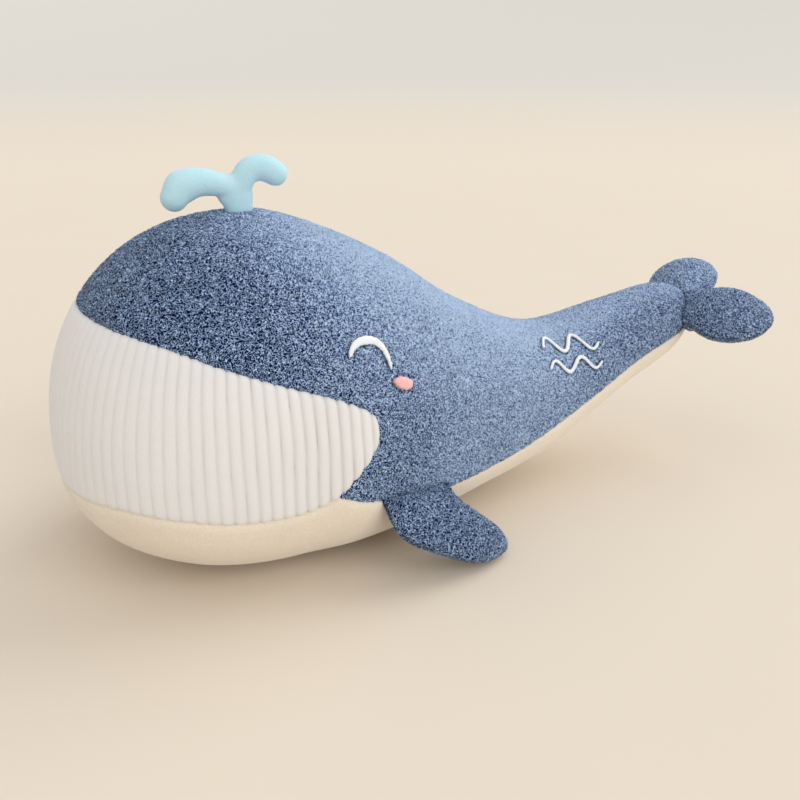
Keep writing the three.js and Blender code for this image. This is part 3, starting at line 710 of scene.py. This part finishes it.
def plush_material(name, light, dark, scale, relief):
    """Smooth short pile."""
    material, tree, core = shader(name, 0.9, sheen=0.4, specular=0.2)
    fine = noise(tree, scale, detail=4, roughness=0.6)
    blotch = noise(tree, 18)
    mixed = plus(tree, times(tree, fine, 0.7), times(tree, blotch, 0.3))
    colour_ramp(tree, core, mixed, (0.3, dark), (0.65, light))
    bump(tree, core, fine, relief, 0.6)
    return material


def thread_material(name, light, dark):
    """Satin stitch with painted shade between its threads."""
    material, tree, core = shader(name, 0.5, sheen=0.2, specular=0.5)
    fine = noise(tree, 700)
    # Painted shade between the threads, with a fine random mottle
    mixed = plus(tree, times(tree, attribute(tree, "thread_shade"), 0.6), times(tree, fine, 0.4))
    colour_ramp(tree, core, mixed, (0.15, dark), (0.6, light))
    bump(tree, core, mixed, 0.0004, 0.6)
    return material


MATERIALS = {name: make(name, *looks) for name, make, *looks in (
    ("blue_boucle", boucle_material),
    ("ribbed_cloth", ribbed_material),
    ("cream_plush", plush_material, (0.83, 0.745, 0.63), (0.74, 0.65, 0.53), 420, 0.0012),
    ("aqua_velour", plush_material, (0.51, 0.76, 0.85), (0.43, 0.69, 0.79), 650, 0.0005),
    ("white_thread", thread_material, (0.88, 0.905, 0.93), (0.66, 0.70, 0.78)),
    ("pink_thread", thread_material, (0.95, 0.54, 0.53), (0.8, 0.37, 0.37)),
)}


def dress(item, slot, body, nodes):
    """Give a piece its cloth, hang it on the body it rides on or fix its place in its own mesh, and hide the
    solids that it stands for.
    """
    item.data.materials.append(MATERIALS[slot])
    if isinstance(body, str):
        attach(item, body)
    else:
        limb, (start, end) = body
        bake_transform(item)
        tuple(start)
        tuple(end)
    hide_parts(*nodes)


# Stitches and patches

EYE_PLACES = np.array(EYE_ARCH_SHARES) * (EYE_WIDTH, EYE_HEIGHT) + (EYE_X, EYE_Z)


def satin_strand(name, places, side, size, shape):
    """Domed strand of satin stitch on the skin, with threads that lean a little."""
    width, height = size
    sides, rings_per_thread = 14, 4
    spots = spline(side_point(*places.T, side), 200)
    total = lengths_along(spots)[-1]
    count = int(total / (STRAND_THREAD / rings_per_thread)) + 1
    path = evenly(spots, count)
    normals = skin_normal(path)
    run = unit(np.gradient(path, axis=0))
    across = unit(np.cross(run, normals))
    way = np.linspace(0, 1, count)
    ends = np.sqrt(np.clip(np.minimum(way, 1 - way) * total / (width * 0.5), 0, 1))
    grow = np.interp(way, *np.array(shape).T) * (0.45 + 0.55 * ends)
    turn = full_turn(sides)
    rng = np.random.default_rng(len(places) + 7 * int(side > 0))
    knots = np.linspace(0, 1, int(total / 1.5))
    ragged = 1 + 0.09 * np.interp(way, knots, rng.standard_normal(len(knots)))
    wave = np.sin(np.arange(count)[:, None] / rings_per_thread * 2 * pi + 1.4 * np.cos(turn))
    out = (width / 2 * grow * ragged)[:, None] * np.cos(turn)
    lift = (height / 2 * (0.5 + 0.5 * grow))[:, None] * np.sin(turn) * (1 + 0.09 * wave) + STRAND_LIFT
    rings = path[:, None] + across[:, None] * out[..., None] + normals[:, None] * lift[..., None]
    tips = [path[0] - run[0] * width * 0.2, path[-1] + run[-1] * width * 0.2]
    points = np.concatenate([rings.reshape(-1, 3), tips])
    ring, last = np.arange(sides), (count - 1) * sides
    tris = np.concatenate([
        grid_faces(count, sides),
        fan_faces(count * sides, ring)[:, ::-1],
        fan_faces(count * sides + 1, last + ring)])
    return make_object(name, points, tris, fields={"thread_shade": np.append(0.5 + 0.5 * wave, [0.5, 0.5])})


def wave_places(row):
    way = np.linspace(-0.5, 0.5, 49)
    run = way * WAVE_LENGTH
    swing = WAVE_AMPLITUDE * np.sin(way * 4 * pi) + row * WAVE_SPACING
    c, s = cos(WAVE_SLOPE), sin(WAVE_SLOPE)
    return np.stack([WAVE_X + run * c - swing * s, WAVE_Z + run * s + swing * c], -1)


def cheek_patch(name, side):
    """Domed oval of satin stitch on the skin, pointed at its nose end, with worn edges."""
    centre = side_point(CHEEK_X, CHEEK_Z, side)
    normal = skin_normal(centre[None])[0]
    along = unit((1.0, 0, 0) - normal * normal[0])
    tilt = -side * CHEEK_TILT
    along = along * cos(tilt) + np.cross(normal, along) * sin(tilt)
    up = -side * np.cross(normal, along)
    shares = np.concatenate([[0.02], np.arange(1, 17) / 16, [1.0]])
    around = 72
    turn = full_turn(around)
    worn = 1 + 0.06 * np.random.default_rng(5).standard_normal(around)
    point = 1 - 0.34 * np.maximum(-np.cos(turn), 0) ** 2
    u = CHEEK_WIDTH / 2 * shares[:, None] * np.cos(turn) * worn
    v = CHEEK_TALL / 2 * shares[:, None] * np.sin(turn) * worn * point
    flat = centre + u[..., None] * along + v[..., None] * up
    base = side_point(flat[..., 0], flat[..., 2], side)
    wave = np.sin(u * 2 * pi / PATCH_THREAD)
    lift = PATCH_RISE * np.sqrt(np.maximum(1 - shares**2.6, 0))[:, None] + 0.14 * wave
    lift[-1] = -PATCH_SINK
    points = (base + normal * lift[..., None]).reshape(-1, 3)
    tris = np.concatenate([grid_faces(len(shares), around)[:, ::-1], cap_faces(around)])
    if side > 0:
        tris = tris[:, ::-1]
    return make_object(name, points, tris, fields={"thread_shade": (0.5 + 0.5 * wave).ravel()})


def make_stitches():
    for word, side in SIDES:
        eye = satin_strand(f"eye_thread_{word}", EYE_PLACES, side, EYE_THREAD, EYE_WIDTHS)
        dress(eye, "white_thread", "body", [f"eye_stitch_{word}"])
        dress(cheek_patch(f"cheek_thread_{word}", side), "pink_thread", "body", [f"cheek_patch_{word}"])
    for word, row in WAVE_ROWS:
        wave = satin_strand(f"wave_thread_{word}", wave_places(row), -1, WAVE_THREAD, WAVE_WIDTHS)
        dress(wave, "white_thread", "body", [f"wave_stitch_{word}"])


# Body covers

def near_path(p, path):
    """Distance from points to a path, only where they are near it."""
    d = np.full(len(p), 1e3)
    low, high = path.min(0) - PRESS_REACH, path.max(0) + PRESS_REACH
    close = np.flatnonzero(((p > low) & (p < high)).all(1))
    if len(close):
        d[close] = norms(p[close][:, None] - path).min(1)
    return d


def stitched_paths():
    """Middle lines of the stitches, with the half width that each presses flat."""
    paths = []
    for _, side in SIDES:
        eye = spline(side_point(*EYE_PLACES.T, side), 60)
        cheek = side_point(CHEEK_X, CHEEK_Z, side) + np.linspace(-1, 1, 9)[:, None] * CHEEK_PRESS_RUN
        paths += [(evenly(eye, 40), EYE_PRESS), (cheek, CHEEK_PRESS)]
    for _, row in WAVE_ROWS:
        paths.append((evenly(side_point(*wave_places(row).T, -1), 60), WAVE_PRESS))
    return paths


def make_back_panels():
    """Two halves of curly pile that meet in a seam along the ridge, dented by the stitches."""
    points, tris, uv = body_rings(PILE_STEP)
    normals = skin_normal(points)
    above, front = seam_distances(points, normals)
    inner = np.minimum(above, -front)
    past_ridge = np.where(points[:, 2] > section(points[:, 0])[3], 0, 50)
    paths = stitched_paths()
    width, depth, shade = BODY_CREASE
    for word, side in SIDES:
        dorsal = side * points[:, 1] + past_ridge
        used, faces, corners = keep_faces(tris, uv, (inner > -OVERLAP) & (dorsal > -RIDGE_OVERLAP))
        p = points[used]
        lift, curl_shade_and_mottle = pile_lift(p)
        lift += swells(p, 3, *BACK_SWELL) + seam_roll(inner[used] + 0.8, *BACK_ROLL)
        lift += seam_roll(dorsal[used], *RIDGE_ROLL)
        crease = root_creases(p, width)
        lift -= depth * crease
        # Base level and painted light of the pile, with painted shade in the creases round the limbs
        pile_level_and_painted_light = painted_back_light(p) - shade * crease
        # Each stitch dents the pile and gets painted shade round it
        for path, half in paths:
            past = near_path(p, path) - half
            lift -= PRESS_DEPTH * np.clip(1 - past / PRESS_WIDTH, 0, 1)
            pile_level_and_painted_light -= PRESS_SHADE * np.clip(1 - past / PRESS_SHADE_WIDTH, 0, 1)
        item = make_object(f"back_cloth_{word}", p + normals[used] * lift[:, None], faces[:, ::-1],
                           corners[:, ::-1], {"curl_shade_and_mottle": curl_shade_and_mottle, "pile_level_and_painted_light": pile_level_and_painted_light})
        nodes = [f"back_panel_{word}"] + (["head_stuffing", "tail_stuffing"] if side < 0 else [])
        dress(item, "blue_boucle", "body", nodes)


def make_belly():
    points, tris, uv = body_rings(BELLY_STEP)
    normals = skin_normal(points)
    above, _ = seam_distances(points, normals)
    used, faces, corners = keep_faces(tris, uv, above < OVERLAP)
    p = points[used]
    lift = swells(p, 41, PLUSH_SIZE, PLUSH_HEIGHT / 2) + swells(p, 5, *BELLY_SWELL)
    lift += seam_roll(-above[used], *BELLY_ROLL)
    moved = p + normals[used] * lift[:, None]
    moved[:, 2] = np.maximum(moved[:, 2], 0)
    item = make_object("belly_cloth", moved, faces[:, ::-1], corners[:, ::-1])
    dress(item, "cream_plush", "body", ["belly_panel"])


def mouth_grid():
    """Points on the head in columns up the ribs, and each column's place round the head."""
    turn = np.linspace(0, pi / 2, 600)
    x = np.concatenate([CROWN_REACH * (1 - np.cos(turn)), np.linspace(CROWN_REACH, MOUTH_BACK + 20, 200)[1:]])
    half = section(x)[0]
    half[0] = 0
    run = lengths_along(np.stack([x, half], -1))
    total = np.interp(MOUTH_BACK, x, run)
    t = np.linspace(-total, total, 2 * int(total / MOUTH_COLUMN) + 1)
    plan_x, plan_y = np.interp(np.abs(t), run, x), np.interp(np.abs(t), run, half)
    start = np.maximum(plan_x, CROWN_REACH)
    way = unit(np.stack([plan_x - start, plan_y], -1))
    z = np.arange(MOUTH_LOW, MOUTH_HIGH, MOUTH_ROW)

    def ray_points(reach):
        rise = np.broadcast_to(z[:, None], reach.shape)
        return np.stack([start + way[:, 0] * reach, way[:, 1] * reach, rise], -1)

    low = np.zeros((len(z), len(t)))
    high = np.full(low.shape, MOUTH_PROBE)
    for _ in range(26):
        middle = (low + high) / 2
        p = ray_points(middle)
        within = p[..., 0] > 0
        p[..., 0] = np.maximum(p[..., 0], 0.01)
        within &= outness(p) < 1
        low, high = np.where(within, middle, low), np.where(within, high, middle)
    p = ray_points(low)
    p[..., 1] *= np.sign(t)
    return p, t


def make_mouth():
    """Rib knit whose ribs run up the head, sway a little and deepen toward the sides."""
    grid, t = mouth_grid()
    points = grid.reshape(-1, 3)
    tris = grid_faces(*grid.shape[:2], closed=False)[:, ::-1]
    normals = point_normals(points, tris)
    above, front = seam_distances(points, normals)
    inner = np.minimum(above, front)
    places = np.tile(t, grid.shape[0])
    uv = np.stack([places, points[:, 2] * 1.2], -1)[tris]
    used, faces, corners = keep_faces(tris, uv, inner > -OVERLAP)
    p, place = points[used], places[used]
    level = np.zeros(len(p))
    sway = np.stack([place / RIB_SWAY_ROUND, p[:, 2] / RIB_SWAY_UP, level], -1)
    around = np.abs(place) / t[-1]
    phase = place * (1 + RIB_CROWDING * around**2) + RIB_SWAY * (value_noise(sway, 51) - 0.5)
    phase /= RIB_PITCH
    rib = np.abs(np.sin(pi * phase)) ** RIB_ROUNDNESS
    own = hashed(np.stack([np.floor(phase), level, level], -1), 61)
    strength = 0.2 + 0.9 * eased(around)
    lift = RIB_DEPTH * strength * (rib - 0.8) * (0.8 + 0.4 * own) + swells(p, 7, *MOUTH_SWELL)
    lift += seam_roll(inner[used] - 1.6 * strength * (1 - rib), *MOUTH_ROLL)
    # Painted shade between the ribs, stronger toward the sides, and a little random darkening of each rib
    rib_shade_and_streaks = strength * (0.8 * (1 - rib) + 0.08 * own)
    item = make_object("mouth_cloth", p + normals[used] * lift[:, None], faces, corners, {"rib_shade_and_streaks": rib_shade_and_streaks})
    dress(item, "ribbed_cloth", "body", ["mouth_panel"])


# Limbs

def turned(v, axis, angle):
    axis = unit(np.array(axis))
    return v * cos(angle) + np.cross(axis, v) * sin(angle) + axis * (axis @ v) * (1 - cos(angle))


def limb_axes(along, outward):
    along, outward = unit(along), unit(outward)
    return np.stack([along, outward, unit(np.cross(along, outward))])


def fin_frame(side):
    """Middle of a fin's root and its axes: along the root, out from it, and across both."""
    run = FIN_ROOT_LENGTH / 2
    rise = run * sin(FIN_ROOT_SLOPE)
    front, rear = (side_point(FIN_ROOT_X + way * run, FIN_ROOT_Z - way * rise, side) for way in (-1, 1))
    along = unit(rear - front)
    middle = side_point(FIN_ROOT_X, FIN_ROOT_Z, side)
    root = middle + skin_normal(middle[None])[0] * ROOT_LIFT
    level = -side * unit(np.array([along[1], -along[0], 0]))
    down = unit(along * along[2] - (0, 0, 1.0))
    return root, limb_axes(along, level * cos(FIN_DROOP) + down * sin(FIN_DROOP))


def fluke_frame(side):
    """The same for a fluke, which starts inside the tail and comes out through the skin."""
    reach = cos(FLUKE_LIFT)
    outward = np.array([cos(FLUKE_SWEEP) * reach, side * sin(FLUKE_SWEEP) * reach, sin(FLUKE_LIFT)])
    across = np.array([sin(FLUKE_SWEEP), -side * cos(FLUKE_SWEEP), 0])
    across = turned(across, outward, -side * FLUKE_ROLL)
    for axis, angle in (((1, 0, 0), FLUKE_TWIST), ((0, 0, 1), FLUKE_TURN)):
        outward, across = turned(outward, axis, angle), turned(across, axis, angle)
    start = np.array([FLUKE_CENTRE_X, 0, section(FLUKE_CENTRE_X)[3] + FLUKE_CENTRE_RISE])
    near, far = 0.0, HEAD_WIDTH / 2
    for _ in range(24):
        middle = (near + far) / 2
        if outness(start + outward * middle) < 1:
            near = middle
        else:
            far = middle
    return start + outward * (near + ROOT_LIFT), limb_axes(across, outward)


def limb_outline(shares, length, reach, depth, step=0.5):
    """Closed outline in the limb's plane, free edge first, and which points are root."""
    free = spline(np.array(shares) * (length, reach), 400)
    ahead, behind = free[0] - (0, depth), free[-1] - (0, depth)
    free = np.vstack([np.linspace(ahead, free[0], 20)[:-1], free, np.linspace(free[-1], behind, 20)[1:]])
    free_count = int(lengths_along(free)[-1] / step)
    root_count = int(norms(free[-1] - free[0]) / step)
    edge = evenly(free, free_count + 1)
    root = np.linspace(free[-1], free[0], root_count + 1)[1:-1]
    return np.vstack([edge, root]), np.concatenate([np.zeros(len(edge)), np.ones(len(root))])


def pillow(share, thickness):
    """Half height of a limb at a share of the way from its middle to its rim."""
    return thickness / 2 * np.maximum(1 - share**2, 0) ** RIM_ROUNDNESS


def limb_form(shares, size):
    """Outline of a limb, its middle, and its half height at places in its own plane."""
    length, reach, thickness, depth = size
    outline, is_root = limb_outline(shares, length, reach, depth)
    middle = outline[::3].mean(0)
    out = outline - middle
    turn = np.arctan2(out[:, 1], out[:, 0])
    order = np.argsort(turn)
    turn, radius = turn[order], norms(out)[order]

    def half_height(places):
        off = places - middle
        edge = np.interp(np.arctan2(off[:, 1], off[:, 0]), turn, radius, period=2 * pi)
        share = norms(off) / edge
        return pillow(share, thickness), share

    return outline, is_root, middle, half_height


def limbs():
    """Name, side, root frame, outline and size of each fin and fluke."""
    for word, side in SIDES:
        yield f"fin_{word}", side, fin_frame(side), FIN_OUTLINE_SHARES, FIN_SIZE
        yield f"fluke_{word}", side, fluke_frame(side), FLUKE_OUTLINE_SHARES, FLUKE_SIZE


def root_creases(p, width):
    """From 0 to 1, how near points of the body are to a sewn limb."""
    total = np.zeros(len(p))
    for _, _, (root, axes), shares, size in limbs():
        close = np.flatnonzero(norms(p - root) < size[0])
        local = (p[close] - root) @ axes.T
        height, share = limb_form(shares, size)[3](local[:, :2])
        gap = np.maximum(np.abs(local[:, 2]) - height, 0) + np.maximum(share - 1, 0) * LIMB_RADIUS
        total[close] = np.maximum(total[close], fading(gap, width))
    return total


def limb_panel(limb, panel, face, frame_of, shares, size):
    """One face of a limb: rings from its middle to the rim, and a flange rolled in under it."""
    root, axes = frame_of
    thickness = size[2]
    outline, is_root, middle, _ = limb_form(shares, size)
    loop = np.vstack([outline, outline[:1]]) - middle
    root_loop = np.append(is_root, is_root[0])
    mean = norms(loop[1:]).mean()
    perimeter = lengths_along(loop)[-1]
    share = np.sin(np.linspace(0.004, pi / 2, 300))
    run = lengths_along(np.stack([share * mean, pillow(share, thickness)], -1))
    levels = np.interp(np.arange(0, run[-1] + PILE_STEP * 0.5, PILE_STEP), run, share)
    levels[-1] = 1.0
    steps = [(level, 0) for level in levels] + [(1.0, past + 1) for past in range(RIM_FLANGE_RINGS)]
    around = np.linspace(0, 1, len(loop))
    points, rims, counts = [], [], []
    for level, past in steps:
        count = max(int(perimeter * level / PILE_STEP), 6)
        at = np.linspace(0, 1, count, endpoint=False)
        ring = np.stack([np.interp(at, around, loop[:, axis]) for axis in (0, 1)], -1)
        rooted = np.interp(at, around, root_loop)
        drop = past / RIM_FLANGE_RINGS * RIM_FLANGE
        flat = middle + ring * level - unit(ring) * (drop * (1 - rooted))[:, None]
        flat[:, 1] -= drop * rooted * 1.2
        points.append(np.column_stack([flat, np.full(count, face * pillow(level, thickness))]))
        rims.append(np.full(count, (1 - level) * mean - past * 2.0))
        counts.append(count)
    local, rim = np.concatenate(points), np.concatenate(rims)
    tris = ring_faces(counts)[0][:, ::face]
    world = root + local @ axes
    normals = point_normals(world, tris)
    salt = 100 if "fin" in limb else 200
    width, depth, shade = LIMB_CREASE
    crease = fading((outness(world) - 1) * BODY_RADIUS, width)
    inner = np.maximum(rim, 0)
    lift, curl_shade_and_mottle = pile_lift(world, salt)
    lift += swells(world, salt + 1, *LIMB_SWELL) - RIM_SEAM[0] * fading(inner, RIM_SEAM[1])
    lift = np.where(rim < 0, lift.min() * 0.5, lift - depth * crease)
    # Painted highlight near the rim where it faces the light, painted shade in the root crease and at the rim
    # seam, over the limb's own level
    pale = np.clip(normals @ unit(np.array(PAINTED_LIGHT_SIDE)), 0, 1) * fading(inner, RIM_HIGHLIGHT_WIDTH)
    pile_level_and_painted_light = LIMB_TONE_AND_PAINTED_LIGHT[limb] - shade * crease + RIM_HIGHLIGHT_GAIN * pale
    pile_level_and_painted_light -= RIM_SHADE * fading(inner, RIM_SHADE_WIDTH)
    return make_object(f"{limb}_{panel}_cloth", world + normals * lift[:, None], tris, local[:, :2][tris],
                       {"curl_shade_and_mottle": curl_shade_and_mottle, "pile_level_and_painted_light": pile_level_and_painted_light})


def bend_line(root, way, reach):
    """Start and end, in the frame, of the stretch where a sewn root bends."""
    return [tuple(in_frame(root + way * share)) for share in (-reach, reach)]


def make_limbs():
    for limb, side, frame_of, shares, size in limbs():
        root, axes = frame_of
        for panel, face in (("top", side), ("bottom", -side)):
            item = limb_panel(limb, panel, face, frame_of, shares, size)
            nodes = [f"{limb}_{panel}_panel"] + ([f"{limb}_stuffing"] if panel == "top" else [])
            dress(item, "blue_boucle", (limb, bend_line(root, axes[1], ROOT_BEND)), nodes)


# Spout

def spout_tube(shares, lobe_thickness, sides=28, steps=40):
    """Round-ended tube through shares of the spout's span, height and stem width."""
    shares = np.array(shares)
    path = spline(shares[:, :2] * (SPOUT_SPAN, SPOUT_HEIGHT), steps)
    run = unit(np.gradient(path, axis=0))
    t = np.linspace(0, 1, steps + 1)
    half = SPOUT_STEM * np.interp(t * (len(shares) - 1), np.arange(len(shares)), shares[:, 2])
    depth = (SPOUT_STEM_THICKNESS + (lobe_thickness - SPOUT_STEM_THICKNESS) * np.clip(t / 0.66, 0, 1)) / 2
    turn = full_turn(sides)

    def ring(k, past=0.0):
        across = np.array([-run[k, 1], run[k, 0]]) * half[k] * cos(past)
        flat = path[k] + run[k] * half[k] * sin(past) + across * np.cos(turn)[:, None]
        return np.column_stack([flat[:, 0], depth[k] * cos(past) * np.sin(turn), flat[:, 1]])

    ends = np.linspace(0, pi / 2, 9)[:-1]
    rings = [ring(0, -e) for e in ends[::-1]]
    rings += [ring(k) for k in range(1, steps)] + [ring(-1, e) for e in ends]
    last = (len(rings) - 1) * sides
    tris = [grid_faces(len(rings), sides), cap_faces(sides)[:, ::-1], last + cap_faces(sides)]
    return np.concatenate(rings), np.concatenate(tris)


def one_skin(tubes, place):
    """Points and triangles of one closed skin round overlapping tubes."""
    starts = running([len(points) for points, _ in tubes])
    faces = np.concatenate([tris + start for (_, tris), start in zip(tubes, starts)])
    whole = make_object("spout_form", np.concatenate([points for points, _ in tubes]) + place, faces)
    remesh = whole.modifiers.new("remesh", "REMESH")
    remesh.mode = "VOXEL"
    remesh.voxel_size = SPOUT_VOXEL / PER_METRE
    graph = bpy.context.evaluated_depsgraph_get()
    mesh = bpy.data.meshes.new_from_object(whole.evaluated_get(graph))
    mesh.calc_loop_triangles()
    points = from_nose(np.array([vertex.co for vertex in mesh.vertices]))
    tris = np.array([face.vertices for face in mesh.loop_triangles])
    bpy.data.objects.remove(whole)
    bpy.data.meshes.remove(mesh)
    return points, tris


def make_spout():
    """Two velour halves round a stem and two curled arms, sewn down the middle."""
    root = skin(SPOUT_X, pi / 2) + (0, 0, ROOT_LIFT)
    arms = [spout_tube(shares, SPOUT_LOBE_THICKNESS) for shares in (SPOUT_FRONT_SHARES, SPOUT_REAR_SHARES)]
    stem = spout_tube(SPOUT_STEM_SHARES, SPOUT_STEM_THICKNESS)
    points, tris = one_skin([*arms, stem], root)
    points = relaxed(points, tris, 36)
    lift = swells(points, 71, *SPOUT_SWELL) - SPOUT_SEAM[0] * fading(points[:, 1], SPOUT_SEAM[1])
    moved = points + point_normals(points, tris) * lift[:, None]
    bend = bend_line(root, np.array([0, 0, 1.0]), SPOUT_BEND)
    for word, side in SIDES:
        keep = side * points[:, 1] > -SPOUT_OVERLAP
        used, faces, corners = keep_faces(tris, points[:, [0, 2]][tris], keep)
        q = moved[used]
        q[side * q[:, 1] < 0, 1] *= 0.5
        item = make_object(f"spout_{word}_cloth", q, faces, corners)
        nodes = [f"spout_{word}_panel"] + (["spout_stuffing"] if side < 0 else [])
        dress(item, "aqua_velour", ("spout", bend), nodes)


# Stage, light and camera

def make_stage():
    """Cream floor that rises and turns pale grey far away, to fill the view."""
    material, tree, core = shader("floor_paint", 0.8, specular=0.2)
    blotch = noise(tree, 4, detail=3)
    mixed = plus(tree, attribute(tree, "far"), times(tree, blotch, 0.02))
    colour_ramp(tree, core, mixed, (0.0, (0.735, 0.655, 0.55)), (0.02, (0.75, 0.67, 0.565)),
                (1.0, (0.64, 0.625, 0.585)))
    radii = np.array(FLOOR_RADII)
    slope = FLOOR_SLOPE * between(radii, FLOOR_FLAT, radii[-1])
    rise = running(np.diff(radii) * np.tan((slope[1:] + slope[:-1]) / 2))
    greyness = between(radii, FLOOR_CREAM, FLOOR_GREY)
    around = 96
    turn = np.tile(full_turn(around), len(radii))
    out, up, far = (np.repeat(values, around) for values in (radii, rise, greyness))
    rings = np.stack([out * np.cos(turn), out * np.sin(turn), up], -1)
    points = np.vstack([rings, [0, 0, 0]]) - (0, 0, FLOOR_DROP)
    tris = np.vstack([grid_faces(len(radii), around)[:, ::-1], fan_faces(len(points) - 1, np.arange(around))])
    floor = make_object("floor", from_nose(points), tris, fields={"far": np.append(far, 0)})
    floor.data.materials.append(material)


def aim(way):
    return Vector(way).to_track_quat("-Z", "Y").to_euler()


def soft_sun(name, travel, energy, colour, spread=50):
    data = bpy.data.lights.new(name, "SUN")
    data.energy = energy
    data.angle = radians(spread)
    data.color = colour
    add_object(name, data).rotation_euler = aim(travel)


def make_lights():
    world = bpy.data.worlds.new("studio")
    world.use_nodes = True
    fill_in(world.node_tree.nodes["Background"], {"Color": (1.0, 0.98, 0.955, 1), "Strength": 0.78})
    scene.world = world
    scene.view_settings.view_transform = "Standard"
    soft_sun("window", travel=(-0.8, -0.17, -0.62), energy=1.1, colour=(1.0, 0.99, 0.975))
    soft_sun("fill", travel=(-0.9, 2.4, -1.1), energy=1.25, colour=(1.0, 0.995, 0.985))


def make_camera():
    data = bpy.data.cameras.new("photo_camera")
    data.sensor_fit = "HORIZONTAL"
    data.sensor_width = SENSOR_WIDTH
    data.lens = SENSOR_WIDTH * FOCAL_PIXELS / PHOTO_WIDTH_PIXELS
    data.clip_start = 0.01
    data.clip_end = 200
    camera = add_object("photo_camera", data)
    camera.location = CAMERA_PLACE
    camera.rotation_euler = aim(CAMERA_AIM)
    scene.camera = camera


make_camera()
make_lights()
make_stage()
make_back_panels()
make_belly()
make_mouth()
make_limbs()
make_spout()
make_stitches()
